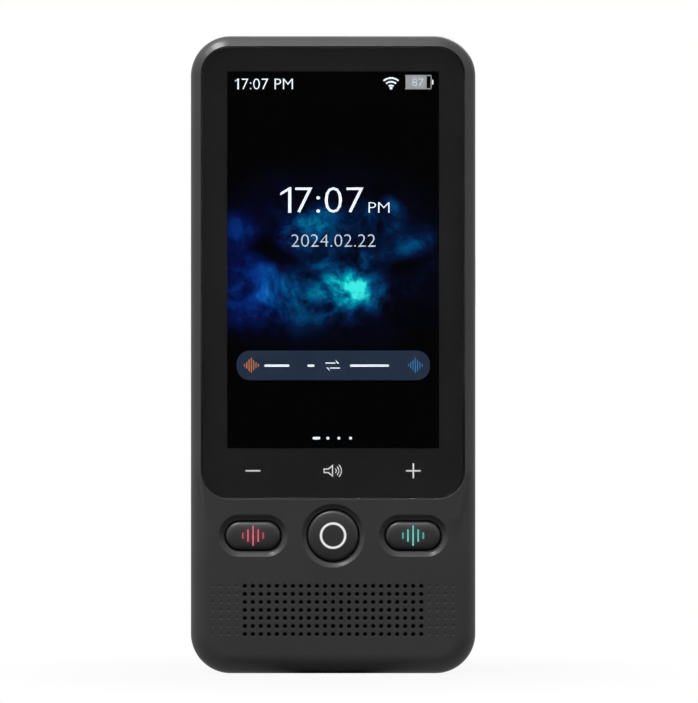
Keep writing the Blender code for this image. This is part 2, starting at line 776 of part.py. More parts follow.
# Mid frame: the metal plate that stiffens the body and carries the board and the battery
def make_mid_frame():
    half = inner_half_width - mid_frame_edge_gap
    frame = block(
        "mid_frame", (-half, mid_frame_depth, glass_bottom + mid_frame_bottom_margin),
        (half, mid_frame_back_depth, inner_top - mid_frame_edge_gap), frame_alloy,
        corner=inner_corner_radius - mid_frame_edge_gap, steps=corner_steps,
    )
    standoffs = [
        depth_rod(f"board_standoff_{number}", standoff_radius, mid_frame_depth + mid_frame_thickness / 2,
                  board_depth - seat_gap, x, z, frame_alloy)
        for number, (x, z) in enumerate(board_screw_places)
    ]
    join(frame, *standoffs)
    for number, (x, z) in enumerate(mid_frame_screw_places + board_screw_places):
        cut(frame, depth_rod(f"frame_hole_{number}", pilot_hole_radius, mid_frame_depth - cut_overrun,
                             board_depth + cut_overrun, x, z, frame_alloy))


def make_screws():
    """Every screw, named for what it holds and where it sits."""
    sides = {-1: "left", 1: "right"}
    for x, z in mid_frame_screw_places:
        level = "upper" if z > power_key_z else "lower"
        side = sides[math.copysign(1, x)]
        length = screw_length(mid_frame_back_depth, mid_frame_depth - seat_gap)
        screw(f"mid_frame_screw_{level}_{side}", mid_frame_back_depth + seat_gap, length, x, z)
    for x, z in key_board_screw_places:
        side = sides[math.copysign(1, x)]
        length = screw_length(key_board_back_depth, key_board_depth - seat_gap)
        screw(f"key_board_screw_{side}", key_board_back_depth + seat_gap, length, x, z)
    ear_back_depth = speaker_boss_back_depth + seat_gap + basket_ear_thickness
    for x, z in basket_screw_places:
        side = sides[math.copysign(1, x)]
        length = screw_length(ear_back_depth, speaker_boss_back_depth)
        screw(f"speaker_screw_{side}", ear_back_depth + seat_gap, length, x, z)
    for x, z in board_screw_places:
        side = sides[math.copysign(1, x)]
        length = board_back_depth + seat_gap - mid_frame_depth
        screw(f"main_board_screw_{side}", board_back_depth + seat_gap, length, x, z)


# Main board with its chips, cans, connector, port and card socket
def make_main_board():
    board = block("main_board", (-board_half_width, board_depth, board_bottom),
                  (board_half_width, board_back_depth, board_top), board_laminate,
                  corner=board_screw_inset / 2)
    for number, (x, z) in enumerate(board_screw_places):
        cut(board, depth_rod(f"board_hole_{number}", pilot_hole_radius, board_depth - cut_overrun,
                             board_back_depth + cut_overrun, x, z, board_laminate))


def make_can(label, x, z, width, length):
    """A shield can soldered to the board's rear face, open towards the board, and the chip inside it."""
    can = block(
        f"{label}_shield_can", (x - width / 2, chip_depth, z - length / 2),
        (x + width / 2, chip_depth + can_height, z + length / 2), bright_steel,
    )
    cut(can, block(
        f"{label}_can_hollow",
        (x - width / 2 + can_wall, chip_depth - cut_overrun, z - length / 2 + can_wall),
        (x + width / 2 - can_wall, chip_depth + can_height - can_wall, z + length / 2 - can_wall),
        bright_steel, cutters,
    ))
    inset = can_wall + chip_margin
    block(
        f"{label}_chip", (x - width / 2 + inset, chip_depth, z - length / 2 + inset),
        (x + width / 2 - inset, chip_depth + chip_height, z + length / 2 - inset), chip_epoxy,
    )


def make_battery():
    block(
        "battery", (-battery_width / 2, battery_depth, battery_low),
        (battery_width / 2, battery_back_depth, battery_high), battery_pouch,
        corner=battery_corner_radius, front=battery_corner_radius / 2, rear=battery_corner_radius / 2,
        edge_steps=2,
    )
    middle = Vector((battery_connector_x, chip_depth + battery_connector_size.y / 2,
                     board_bottom + battery_connector_inset))
    block("battery_connector", middle - battery_connector_size / 2, middle + battery_connector_size / 2,
          connector_nylon)


def make_flex_cables():
    """Two flat cables that run up the left side of the battery, behind the mid frame, to the board."""
    right = -battery_width / 2 - flex_battery_gap
    top = board_bottom + flex_board_overlap
    back = battery_depth + flex_thickness
    foot = glass_bottom + mid_frame_bottom_margin - lcd_flex_tail
    block("lcd_flex_cable", (right - flex_width, battery_depth, foot), (right, back, top), flex_film)
    right -= flex_width + flex_spacing
    foot = key_row_z + key_board_height / 2 - key_flex_fold
    cable = block("key_flex_cable", (right - flex_width, battery_depth, foot), (right, back, top), flex_film)
    join(cable, block(
        "key_flex_fold", (right - flex_width, battery_depth + flex_thickness / 2, foot),
        (right, key_board_depth - solder_gap, foot + key_flex_fold / 2), flex_film, cutters,
    ))


def make_port():
    """Charging receptacle: a rounded metal shell with a contact blade in its mouth."""
    top = body_height - port_setback
    shell = block(
        "usb_c_receptacle", (port_x - port_width / 2, chip_depth, top - port_length),
        (port_x + port_width / 2, chip_depth + port_depth, top), bright_steel,
        corner=port_corner_radius, corner_axis=2,
    )
    cut(shell, block(
        "port_mouth", (port_x - port_width / 2 + port_wall, chip_depth + port_wall, top - port_mouth_depth),
        (port_x + port_width / 2 - port_wall, chip_depth + port_depth - port_wall, top + cut_overrun),
        bright_steel, cutters, corner=port_corner_radius - port_wall, corner_axis=2,
    ))
    blade_middle = chip_depth + port_depth / 2
    join(shell, block(
        "port_blade",
        (port_x - port_blade_width / 2, blade_middle - port_blade_thickness / 2,
         top - (port_length + port_mouth_depth) / 2),
        (port_x + port_blade_width / 2, blade_middle + port_blade_thickness / 2, top - port_wall * 2),
        bright_steel, cutters,
    ))


# Card tray in the left edge, and the socket that guides it
def make_card_tray():
    outer = -body_width / 2 - tray_proud
    plate_inner = outer + tray_plate_thickness
    frame_end = plate_inner + tray_frame_length
    plate = block(
        "card_tray", (outer, side_feature_depth - tray_plate_width / 2, tray_z - tray_plate_length / 2),
        (plate_inner, side_feature_depth + tray_plate_width / 2, tray_z + tray_plate_length / 2),
        charcoal_plastic, corner=tray_plate_width / 2 * pill_round_share, corner_axis=0,
    )
    join(plate, block(
        "tray_frame",
        (outer + tray_plate_thickness / 2, side_feature_depth - tray_frame_thickness / 2,
         tray_z - tray_frame_width / 2),
        (frame_end, side_feature_depth + tray_frame_thickness / 2, tray_z + tray_frame_width / 2),
        charcoal_plastic, cutters,
    ))
    card_low = plate_inner + (tray_frame_length - card_length) / 2
    cut(plate, block(
        "card_pocket",
        (card_low, side_feature_depth + tray_frame_thickness / 2 - card_thickness, tray_z - card_width / 2),
        (card_low + card_length, side_feature_depth + tray_frame_thickness, tray_z + card_width / 2),
        charcoal_plastic, cutters,
    ))
    eject_z = tray_z + tray_plate_length / 2 - tray_plate_width / 2
    cut(plate, rod(
        "eject_hole", eject_hole_radius, tray_plate_thickness + 2 * cut_overrun, 0,
        place(outer - cut_overrun, side_feature_depth, eject_z), facing_right, charcoal_plastic, cutters,
    ))
    socket_low = -inner_half_width + mid_frame_edge_gap
    slot_half = tray_frame_width / 2 + tray_slot_gap
    socket_end = frame_end + tray_slot_gap + socket_end_wall
    socket = block(
        "card_socket", (socket_low, chip_depth, tray_z - slot_half - socket_wall),
        (socket_end, chip_depth + socket_depth, tray_z + slot_half + socket_wall), bright_steel,
    )
    cut(socket, block(
        "socket_slot", (socket_low - cut_overrun, chip_depth + socket_wall, tray_z - slot_half),
        (frame_end + tray_slot_gap, chip_depth + socket_depth - socket_wall, tray_z + slot_half),
        bright_steel, cutters,
    ))


# Keys on the front: caps, light guides, switches and plungers, all centred on the press axis
def make_switch(label, x):
    """A push switch on the key board, and the plunger that slides into it."""
    half = switch_width / 2
    body = block(f"{label}_switch", (x - half, switch_depth, key_row_z - half),
                 (x + half, switch_depth + switch_height, key_row_z + half), chip_epoxy,
                 front=plunger_gap, edge_steps=1)
    bore_depth = switch_depth + plunger_sunk + key_travel + plunger_gap
    cut(body, depth_rod(f"{label}_switch_bore", plunger_radius + plunger_gap, switch_depth - cut_overrun,
                        bore_depth, x, key_row_z))
    rod(f"{label}_switch_plunger", plunger_radius, 0, -plunger_proud - plunger_sunk,
        place(x, plunger_depth, key_row_z), facing_front, connector_nylon)


def make_light_bars(name, x, front_depth, back_depth, margin, target, operation, material):
    """Five upright round ended bars, joined to a light guide or cut from a cap, with a margin round each."""
    heights = (outer_bar_height, next_bar_height, middle_bar_height, next_bar_height, outer_bar_height)
    for index, height in enumerate(heights):
        bar_x = x + (index - (len(heights) - 1) / 2) * bar_pitch
        half_width = bar_width / 2 + margin
        half_height = height / 2 + margin
        bar = block(
            f"{name}_{index}", (bar_x - half_width, front_depth, key_row_z - half_height),
            (bar_x + half_width, back_depth, key_row_z + half_height), material, cutters,
            corner=half_width * pill_round_share, steps=bar_end_steps,
        )
        combine(target, bar, operation)


def cap_profile(radius):
    """Half section of a key cap: crowned face, straight side, and the flange that keeps it in."""
    turns = [math.pi / 2 * step / crown_steps for step in range(crown_steps + 1)]
    crown = [
        (radius - cap_crown * (1 - math.sin(turn)), -cap_setback - cap_crown * (1 - math.cos(turn)))
        for turn in turns
    ]
    return crown + [
        (radius, -key_flange_depth),
        (radius + flange_margin, -key_flange_depth),
        (radius + flange_margin, -key_stem_depth),
    ]


def make_voice_key(label, side, glow):
    """A pill shaped cap with a flange behind the deck, and a light guide that shows as five bars."""
    x = side * voice_key_x
    cap = pill(f"{label}_key_cap", cap_profile(voice_cap_height / 2), voice_cap_straight, x, key_plastic)
    plate_half_width = 2 * bar_pitch + bar_width / 2 + guide_plate_margin
    plate_half_height = min(middle_bar_height, voice_cap_height) / 2 + inlay_gap
    plate_depth = cap_setback + guide_cover
    pocket = block(
        f"{label}_key_pocket", (x - plate_half_width - inlay_gap, plate_depth,
                                key_row_z - plate_half_height - inlay_gap),
        (x + plate_half_width + inlay_gap, key_stem_depth + cut_overrun,
         key_row_z + plate_half_height + inlay_gap),
        key_plastic, cutters,
    )
    cut(cap, pocket)
    make_light_bars(f"{label}_slot", x, cap_setback - cut_overrun, plate_depth + guide_cover / 2,
                    inlay_gap, cap, "DIFFERENCE", key_plastic)
    guide_front = plate_depth + inlay_gap
    guide = block(
        f"{label}_key_light_guide", (x - plate_half_width, guide_front, key_row_z - plate_half_height),
        (x + plate_half_width, guide_front + guide_plate_thickness, key_row_z + plate_half_height), glow,
    )
    make_light_bars(f"{label}_bar", x, cap_setback, guide_front + guide_plate_thickness / 2, 0, guide,
                    "UNION", glow)
    join(guide, depth_rod(f"{label}_key_stem", key_stem_radius, guide_front + guide_plate_thickness / 2,
                          key_stem_depth + key_stem_length, x, key_row_z, glow))
    make_switch(label, x)


def make_home_key():
    """A round cap with its flange and stem in one, and a white ring let into its face."""
    stem = [
        (key_stem_radius, -key_stem_depth),
        (key_stem_radius, -key_stem_depth - key_stem_length),
    ]
    cap = pill("home_key_cap", cap_profile(home_cap_radius) + stem, 0, 0, key_plastic)

    def ring(name, margin, top, material, collection):
        outer = home_ring_outer_radius + margin
        inner = home_ring_inner_radius - margin
        bottom = -cap_setback - home_ring_depth - margin
        square = [(outer, top), (outer, bottom), (inner, bottom), (inner, top)]
        return turned(name, square, place(0, 0, key_row_z), facing_front, material, collection,
                      round_steps, ring=True)

    cut(cap, ring("home_ring_groove", inlay_gap, cut_overrun, key_plastic, cutters))
    ring("home_key_ring", 0, -cap_setback, white_inlay, parts)
    make_switch("home", 0)


def make_key_board():
    half = inner_half_width - key_board_edge_gap
    board = block("key_board", (-half, key_board_depth, key_row_z - key_board_height / 2),
                  (half, key_board_back_depth, key_row_z + key_board_height / 2), board_laminate)
    for number, (x, z) in enumerate(key_board_screw_places):
        cut(board, depth_rod(f"key_board_hole_{number}", pilot_hole_radius, key_board_depth - cut_overrun,
                             key_board_back_depth + cut_overrun, x, z))


# Power key in the right edge, with its switch on a bracket behind the mid frame's edge
def make_power_key():
    outer = body_width / 2 + power_key_proud
    flange_outer = inner_half_width - seat_gap
    flange_inner = flange_outer - power_flange_thickness
    half_width = power_key_width / 2
    half_length = power_key_length / 2
    cap = block(
        "power_key_cap", (flange_inner, side_feature_depth - half_width, power_key_z - half_length),
        (outer, side_feature_depth + half_width, power_key_z + half_length), key_plastic,
        corner=half_width * pill_round_share, corner_axis=0,
    )
    join(cap, block(
        "power_key_flange",
        (flange_inner, side_feature_depth - half_width - power_flange_margin,
         power_key_z - half_length - power_flange_margin),
        (flange_outer, side_feature_depth + half_width + power_flange_margin,
         power_key_z + half_length + power_flange_margin),
        key_plastic, cutters,
    ))
    plunger_outer = flange_inner - contact_gap
    rod("power_switch_plunger", power_plunger_radius, 0, -plunger_proud - plunger_sunk,
        place(plunger_outer, side_feature_depth, power_key_z), facing_right, connector_nylon)
    switch_outer = plunger_outer - plunger_proud
    switch_inner = switch_outer - switch_height
    switch_half_width = power_switch_width / 2
    switch_half_length = power_switch_length / 2
    body = block(
        "power_switch",
        (switch_inner, side_feature_depth - switch_half_width, power_key_z - switch_half_length),
        (switch_outer, side_feature_depth + switch_half_width, power_key_z + switch_half_length), chip_epoxy,
    )
    bore_length = plunger_sunk + power_key_travel + plunger_gap
    cut(body, rod("power_switch_bore", power_plunger_radius + plunger_gap, cut_overrun, -bore_length,
                  place(switch_outer, side_feature_depth, power_key_z), facing_right, chip_epoxy, cutters))
    plate_outer = switch_inner - solder_gap
    plate_inner = plate_outer - bracket_thickness
    bracket_foot = (plate_inner - battery_width / 2) * bracket_foot_share
    bracket = block(
        "power_switch_bracket", (plate_inner, battery_depth, power_key_z - bracket_length / 2),
        (plate_outer, side_feature_depth + switch_half_width, power_key_z + bracket_length / 2), frame_alloy,
    )
    join(bracket, block(
        "bracket_foot", (plate_inner - bracket_foot, battery_depth, power_key_z - bracket_length / 2),
        (plate_outer - bracket_thickness / 2, battery_depth + bracket_thickness,
         power_key_z + bracket_length / 2),
        frame_alloy, cutters,
    ))


# Speaker behind the grille
def speaker_slab(name, front_depth, back_depth, inset, material, collection=parts):
    """A slab with the grille pocket's rounded outline, smaller by inset all round."""
    return block(
        name, (inset - grille_pocket_width / 2, front_depth, grille_z - grille_pocket_height / 2 + inset),
        (grille_pocket_width / 2 - inset, back_depth, grille_z + grille_pocket_height / 2 - inset), material,
        collection, corner=grille_pocket_radius - inset,
    )


def make_speaker():
    speaker_slab("speaker_dust_mesh", mesh_depth, mesh_depth + mesh_thickness, seat_gap, foam_tape)
    gasket_back = gasket_depth + gasket_thickness
    gasket = speaker_slab("speaker_gasket", gasket_depth, gasket_back, seat_gap, foam_tape)
    cut(gasket, speaker_slab("gasket_opening", gasket_depth - cut_overrun, gasket_back + cut_overrun,
                             seat_gap + gasket_width, foam_tape, cutters))
    basket = speaker_slab("speaker_basket", basket_front_depth, basket_back_depth, -basket_margin,
                          charcoal_plastic)
    ear_depth = speaker_boss_back_depth + seat_gap
    ear_end = basket_screw_x + basket_ear_radius
    join(basket, block(
        "basket_ears", (-ear_end, ear_depth, grille_z - basket_ear_radius),
        (ear_end, ear_depth + basket_ear_thickness, grille_z + basket_ear_radius), charcoal_plastic, cutters,
        corner=basket_ear_radius * pill_round_share,
    ))
    for number, (x, z) in enumerate(basket_screw_places):
        cut(basket, depth_rod(f"basket_ear_hole_{number}", pilot_hole_radius, ear_depth - cut_overrun,
                              ear_depth + basket_ear_thickness + cut_overrun, x, z))
    cut(basket, speaker_slab("basket_hollow", basket_front_depth - cut_overrun,
                             basket_back_depth - basket_floor, basket_wall - basket_margin,
                             charcoal_plastic, cutters))
    diaphragm_depth = basket_front_depth + diaphragm_drop
    diaphragm_back = diaphragm_depth + diaphragm_thickness
    speaker_slab("speaker_diaphragm", diaphragm_depth, diaphragm_back,
                 basket_wall - basket_margin + diaphragm_gap, cone_paper)
    coil_half_width = magnet_width / 2 + coil_gap + coil_wall
    coil_half_height = magnet_height / 2 + coil_gap + coil_wall
    coil_front = diaphragm_back + solder_gap
    magnet_front = coil_front + diaphragm_excursion + seat_gap
    magnet_back = basket_back_depth - basket_floor - seat_gap
    block("speaker_magnet", (-magnet_width / 2, magnet_front, grille_z - magnet_height / 2),
          (magnet_width / 2, magnet_back, grille_z + magnet_height / 2), magnet_alloy)
    coil = block("speaker_voice_coil", (-coil_half_width, coil_front, grille_z - coil_half_height),
                 (coil_half_width, coil_front + coil_depth, grille_z + coil_half_height), copper_wire,
                 corner=coil_wall)
    cut(coil, block(
        "coil_opening",
        (coil_wall - coil_half_width, coil_front - cut_overrun, grille_z - coil_half_height + coil_wall),
        (coil_half_width - coil_wall, coil_front + coil_depth + cut_overrun,
         grille_z + coil_half_height - coil_wall),
        copper_wire, cutters,
    ))


# Microphones over their holes in the bottom and top walls
def make_microphones():
    for label, x, low in (
        ("lower", lower_microphone_x, side_wall + seat_gap),
        ("upper", upper_microphone_x, inner_top - seat_gap - microphone_size.z),
    ):
        middle = Vector((x, side_feature_depth, low + microphone_size.z / 2))
        block(f"{label}_microphone", middle - microphone_size / 2, middle + microphone_size / 2, bright_steel)


# Antennas glued inside the rear housing
def make_antenna(name, x, z, width, height):
    back = rear_inner_depth - seat_gap
    block(name, (x - width / 2, back - antenna_thickness, z - height / 2),
          (x + width / 2, back, z + height / 2), flex_film)


# Rear camera, its window, and the flash with the light pipe behind its lens
def make_camera():
    half = camera_width / 2
    module = block("rear_camera_module", (camera_x - half, chip_depth, camera_z - half),
                   (camera_x + half, chip_depth + camera_height, camera_z + half), chip_epoxy)
    join(module, depth_rod("camera_barrel", barrel_radius, chip_depth + camera_height / 2,
                           rear_inner_depth - barrel_rear_gap, camera_x, camera_z, chip_epoxy,
                           steps=round_steps))
    window_back = body_depth - window_setback
    depth_rod("camera_window", camera_window_radius, window_back - window_thickness, window_back, camera_x,
              camera_z, lens_glass, parts, round_steps)
    half = flash_led_width / 2
    led_back = chip_depth + flash_led_height
    block("flash_led", (flash_x - half, chip_depth, camera_z - half),
          (flash_x + half, led_back, camera_z + half), flash_resin)
    profile = [
        (0, 0),
        (flash_lens_radius, 0),
        (flash_lens_radius, -window_thickness),
        (flash_pipe_radius, -window_thickness),
        (flash_pipe_radius, led_back + seat_gap - window_back),
        (0, led_back + seat_gap - window_back),
    ]
    turned("flash_lens", profile, place(flash_x, window_back, camera_z), facing_rear, flash_resin)


make_front_housing()
make_rear_housing()
make_display()
make_mid_frame()
make_screws()
make_main_board()
make_can("processor", processor_can_x, processor_can_z, processor_can_width, processor_can_length)
make_can("radio", radio_can_x, radio_can_z, radio_can_width, radio_can_length)
make_battery()
make_flex_cables()
make_port()
make_card_tray()
make_key_board()
make_voice_key("left_voice", -1, red_guide)
make_voice_key("right_voice", 1, teal_guide)
make_home_key()
make_power_key()
make_speaker()
make_microphones()
make_antenna("wireless_antenna", wireless_antenna_x, wireless_antenna_z, wireless_antenna_width,
             wireless_antenna_height)
make_antenna("cellular_antenna", 0, cellular_antenna_z, cellular_antenna_width, cellular_antenna_height)
make_camera()

for solid in parts.objects:
    if any(change.type == "BOOLEAN" for change in solid.modifiers):
        weld = solid.modifiers.new("close hairline seams", "WELD")
        weld.merge_threshold = weld_distance
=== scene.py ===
import math

import bmesh
import bpy
import numpy as np
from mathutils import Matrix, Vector
from mathutils.geometry import delaunay_2d_cdt


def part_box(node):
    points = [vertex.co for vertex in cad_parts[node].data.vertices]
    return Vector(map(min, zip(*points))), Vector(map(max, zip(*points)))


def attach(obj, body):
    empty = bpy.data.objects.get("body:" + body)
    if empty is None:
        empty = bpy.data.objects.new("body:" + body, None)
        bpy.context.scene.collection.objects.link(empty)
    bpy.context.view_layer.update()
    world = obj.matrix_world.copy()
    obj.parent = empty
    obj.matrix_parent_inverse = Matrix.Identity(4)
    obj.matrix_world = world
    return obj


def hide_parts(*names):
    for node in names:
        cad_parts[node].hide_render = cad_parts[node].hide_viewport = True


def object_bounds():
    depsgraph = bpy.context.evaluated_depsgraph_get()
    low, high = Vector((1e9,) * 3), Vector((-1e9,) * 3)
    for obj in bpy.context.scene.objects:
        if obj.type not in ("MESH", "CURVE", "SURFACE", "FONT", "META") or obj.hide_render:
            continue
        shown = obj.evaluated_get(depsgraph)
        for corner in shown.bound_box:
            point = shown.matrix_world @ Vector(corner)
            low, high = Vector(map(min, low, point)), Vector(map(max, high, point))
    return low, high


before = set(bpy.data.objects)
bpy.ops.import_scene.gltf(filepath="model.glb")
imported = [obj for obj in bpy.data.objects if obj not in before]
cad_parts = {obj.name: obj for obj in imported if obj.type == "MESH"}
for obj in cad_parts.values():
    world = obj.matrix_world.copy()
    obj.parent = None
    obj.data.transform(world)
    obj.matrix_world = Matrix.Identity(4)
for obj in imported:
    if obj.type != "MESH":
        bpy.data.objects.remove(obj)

mm = 0.001
cad_low, cad_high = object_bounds()


# Camera: it stands far off on a long lens and looks straight at the front, as in the photograph.
# The picture is 698 by 703 pixels, and the lens makes each pixel cover 0.2355 mm at the widest outline.
picture_width = 698
picture_height = 703
pixel = 0.23547 * mm
middle_pixel_x = 333.11
foot_pixel_y = 673.24
camera_distance = 1200 * mm
edge_depth = 3 * mm
sensor = 36.0

bpy.context.scene.view_settings.view_transform = "Standard"
camera_data = bpy.data.cameras.new("camera")
camera_data.sensor_width = sensor
camera_data.lens = sensor * (camera_distance + edge_depth) / (picture_height * pixel)
camera = bpy.data.objects.new("camera", camera_data)
camera.location = (
    (picture_width / 2 - middle_pixel_x) * pixel,
    cad_low.y - camera_distance,
    (foot_pixel_y - picture_height / 2) * pixel,
)
camera.rotation_euler = (math.pi / 2, 0, 0)
bpy.context.scene.collection.objects.link(camera)
bpy.context.scene.camera = camera


# Floor: a pale sheet under the body. Near the body it takes the shadow, and further off it is the
# same white as the room behind it, so that no horizon shows.
floor_half_size = 6.0
floor_drop = 0.02 * mm
floor_shade = 0.20
shadow_share = 0.07
shadow_reach = 100 * mm
card_shade = 0.012


def new_tree(name):
    """An empty node material and its tree."""
    material = bpy.data.materials.new(name)
    material.use_nodes = True
    material.node_tree.nodes.clear()
    return material, material.node_tree


def add_node(tree, kind, given=None, **settings):
    """One node. Given holds a value or a socket for each input, by name or number."""
    node = tree.nodes.new(kind)
    for key, value in settings.items():
        setattr(node, key, value)
    for key, value in (given or {}).items():
        if isinstance(value, bpy.types.NodeSocket):
            tree.links.new(value, node.inputs[key])
        else:
            node.inputs[key].default_value = value
    return node


def calculate(tree, operation, *values):
    """The result of one Math node."""
    return add_node(tree, "ShaderNodeMath", dict(enumerate(values)), operation=operation).outputs[0]


def remap(tree, value, low, high, to_low=0.0, to_high=1.0, smooth=False):
    """A value carried from one range to another, and held at its ends."""
    node = add_node(tree, "ShaderNodeMapRange", {"Value": value, "From Min": low, "From Max": high,
                                                 "To Min": to_low, "To Max": to_high},
                    interpolation_type="SMOOTHSTEP" if smooth else "LINEAR")
    return node.outputs["Result"]


def seen_directly(tree, direction, card_starts, card_ends):
    """Whether a ray sees the white itself, how strongly, and how steeply it rises.

    Glosses see a dark card about the camera, which fades between two angles off the front, in degrees.
    """
    path = add_node(tree, "ShaderNodeLightPath")
    gloss = calculate(tree, "MAXIMUM", path.outputs["Is Glossy Ray"], path.outputs["Is Transmission Ray"])
    seen = calculate(tree, "MAXIMUM", path.outputs["Is Camera Ray"], gloss)
    ray = add_node(tree, "ShaderNodeVectorMath", {0: direction}, operation="NORMALIZE")
    split = add_node(tree, "ShaderNodeSeparateXYZ", {0: ray.outputs[0]})
    edge_low, edge_high = (-math.cos(math.radians(angle)) for angle in (card_starts, card_ends))
    card = remap(tree, split.outputs["Y"], edge_low, edge_high, card_shade, 1.0, True)
    return seen, calculate(tree, "MAXIMUM", card, path.outputs["Is Camera Ray"]), split.outputs["Z"]


floor_material, tree = new_tree("pale floor")
place = add_node(tree, "ShaderNodeTexCoord")
away = add_node(tree, "ShaderNodeVectorMath", {0: place.outputs["Object"]}, operation="LENGTH")
glowing = remap(tree, away.outputs["Value"], shadow_reach / 4, shadow_reach, 1 - shadow_share, 1.0, True)
seen, strength, height = seen_directly(tree, place.outputs["Object"], card_starts=55, card_ends=85)
matte = add_node(tree, "ShaderNodeBsdfDiffuse", {"Color": (floor_shade, floor_shade, floor_shade, 1)})
white = add_node(tree, "ShaderNodeEmission", {"Color": (1, 1, 1, 1), "Strength": strength})
both = add_node(tree, "ShaderNodeMixShader", {0: calculate(tree, "MULTIPLY", seen, glowing),
                                              1: matte.outputs[0], 2: white.outputs[0]})
add_node(tree, "ShaderNodeOutputMaterial", {"Surface": both.outputs[0]})

floor_mesh = bpy.data.meshes.new("floor")
floor_corners = np.array([(-1, -1), (1, -1), (1, 1), (-1, 1)]) * floor_half_size
floor_mesh.from_pydata(np.column_stack([floor_corners, np.full(4, -floor_drop)]).tolist(), [], [(0, 1, 2, 3)])
floor_mesh.materials.append(floor_material)
floor = bpy.data.objects.new("floor", floor_mesh)
bpy.context.scene.collection.objects.link(floor)


# Room: white walls all round, which the camera and every gloss see, and a dark card about the camera,
# so that the cover glass has little to mirror from the front. More light comes from above than below.
light_above = 0.27
light_below = 0.05

world = bpy.data.worlds.new("white room")
world.use_nodes = True
bpy.context.scene.world = world
tree = world.node_tree
tree.nodes.clear()
direction = add_node(tree, "ShaderNodeTexCoord")
seen, strength, height = seen_directly(tree, direction.outputs["Generated"], card_starts=17, card_ends=34)
lit_from = remap(tree, height, -0.5, 0.9, light_below, light_above, True)
light = add_node(tree, "ShaderNodeBackground", {"Color": (1, 1, 1, 1), "Strength": lit_from})
walls = add_node(tree, "ShaderNodeBackground", {"Color": (1, 1, 1, 1), "Strength": strength})
both = add_node(tree, "ShaderNodeMixShader", {0: seen, 1: light.outputs[0], 2: walls.outputs[0]})
add_node(tree, "ShaderNodeOutputWorld", {"Surface": both.outputs[0]})


# Lamps: one large soft box above and to the left, a small lamp beside it for the glints on corners and wells,
# a weak fill in front, a strip on the right, and one box behind. Places and sizes are in metres.
def soft_box(name, position, width, height, watts):
    """A rectangular area lamp at a position, turned to the middle of the body."""
    lamp_data = bpy.data.lights.new(name, "AREA")
    lamp_data.shape = "RECTANGLE"
    lamp_data.size = width
    lamp_data.size_y = height
    lamp_data.energy = watts
    lamp = bpy.data.objects.new(name, lamp_data)
    lamp.location = position
    towards = (cad_low + cad_high) / 2 - Vector(position)
    lamp.rotation_euler = towards.to_track_quat("-Z", "Y").to_euler()
    bpy.context.scene.collection.objects.link(lamp)


soft_box("upper left box", (-0.46, -0.36, 1.25), width=0.46, height=0.34, watts=20.5)
soft_box("corner lamp", (-0.85, -0.45, 1.05), width=0.14, height=0.14, watts=1.6)
soft_box("front fill", (0.0, -1.05, 0.85), width=0.70, height=0.50, watts=4.2)
soft_box("right strip", (0.95, -0.25, 0.35), width=0.25, height=0.80, watts=0.5)
soft_box("rear box", (0.40, 1.00, 0.80), width=0.60, height=0.60, watts=8.0)


# Front housing: one moulding in charcoal plastic with a fine spark-eroded grain. It holds the glass in
# a recess, whose upper edge lies a little lower than the CAD's as in the photograph, has three dished
# key wells and a drilled grille, and its rounded sides run to the seam.
housing_low, housing_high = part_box("front_housing")
glass_low, glass_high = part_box("cover_glass")
top_lowered = 0.5 * mm
glass_top = glass_high.z - top_lowered
front_y = housing_low.y
body_half_width = housing_high.x
body_half_height = (housing_high.z - housing_low.z) / 2
seam_depth = housing_high.y - front_y
body_corner = 9.4 * mm
wall = 1.8 * mm
fillet_depth = 3.0 * mm
deck_fillet_width = 4.6 * mm
recess_gap = 0.15 * mm
recess_corner = 6.55 * mm
recess_edge = 0.12 * mm
ledge_depth = 1.65 * mm
deck_thickness = 2.8 * mm
flat_lead = 0.12 * mm
rim_lead = 0.04 * mm
facet_width = 0.70 * mm
facet_drop = 0.48 * mm
rim_starts = 28 * mm
rim_blend = 18 * mm
slope_starts = 48
seam_edge = 0.15 * mm
merge_gap = 0.002 * mm


def rounded_loop(half_a, half_b, radius, arc_steps=16, spacing=3 * mm):
    """A rounded rectangle about the origin, counterclockwise, with the outward direction at each point.

    Each corner is a quarter circle, point = corner centre + radius * (cos, sin), and the straights
    between them are cut into runs of about the spacing.
    """
    points, outward = [], []
    turn = np.linspace(0, np.pi / 2, arc_steps + 1)
    centres = np.array([(1, 1), (-1, 1), (-1, -1), (1, -1)]) * (half_a - radius, half_b - radius)
    for quarter in range(4):
        angle = turn + quarter * np.pi / 2
        away = np.column_stack([np.cos(angle), np.sin(angle)])
        arc = centres[quarter] + radius * away
        after = centres[(quarter + 1) % 4] + radius * away[-1]
        run = np.linalg.norm(after - arc[-1])
        if run < merge_gap:
            points.append(arc[:-1])
            outward.append(away[:-1])
            continue
        share = np.linspace(0, 1, max(int(round(run / spacing)), 1) + 1)[1:-1, None]
        points += [arc, arc[-1] + share * (after - arc[-1])]
        outward += [away, np.repeat(away[-1:], len(share), axis=0)]
    return np.vstack(points), np.vstack(outward)


def shifted(loop, outset, centre=(0, 0)):
    """The points of a loop moved outwards by an outset and then by a centre."""
    return loop[0] + outset * loop[1] + np.array(centre)


def quads(rows, columns):
    """Four-cornered faces of a grid of points, row by row, with the last column joined to the first."""
    row, column = np.meshgrid(np.arange(rows - 1), np.arange(columns), indexing="ij")
    start = (row * columns + column).ravel()
    beside = (row * columns + (column + 1) % columns).ravel()
    return np.column_stack([start, beside, beside + columns, start + columns])


def in_space(seat, across, up, into):
    """Points from two coordinates in a flat seat and one into the body: origin + sum of axis * coordinate."""
    origin, axis_a, axis_b, axis_c = (np.array(part, float) for part in seat)
    return origin + across[..., None] * axis_a + up[..., None] * axis_b + into[..., None] * axis_c


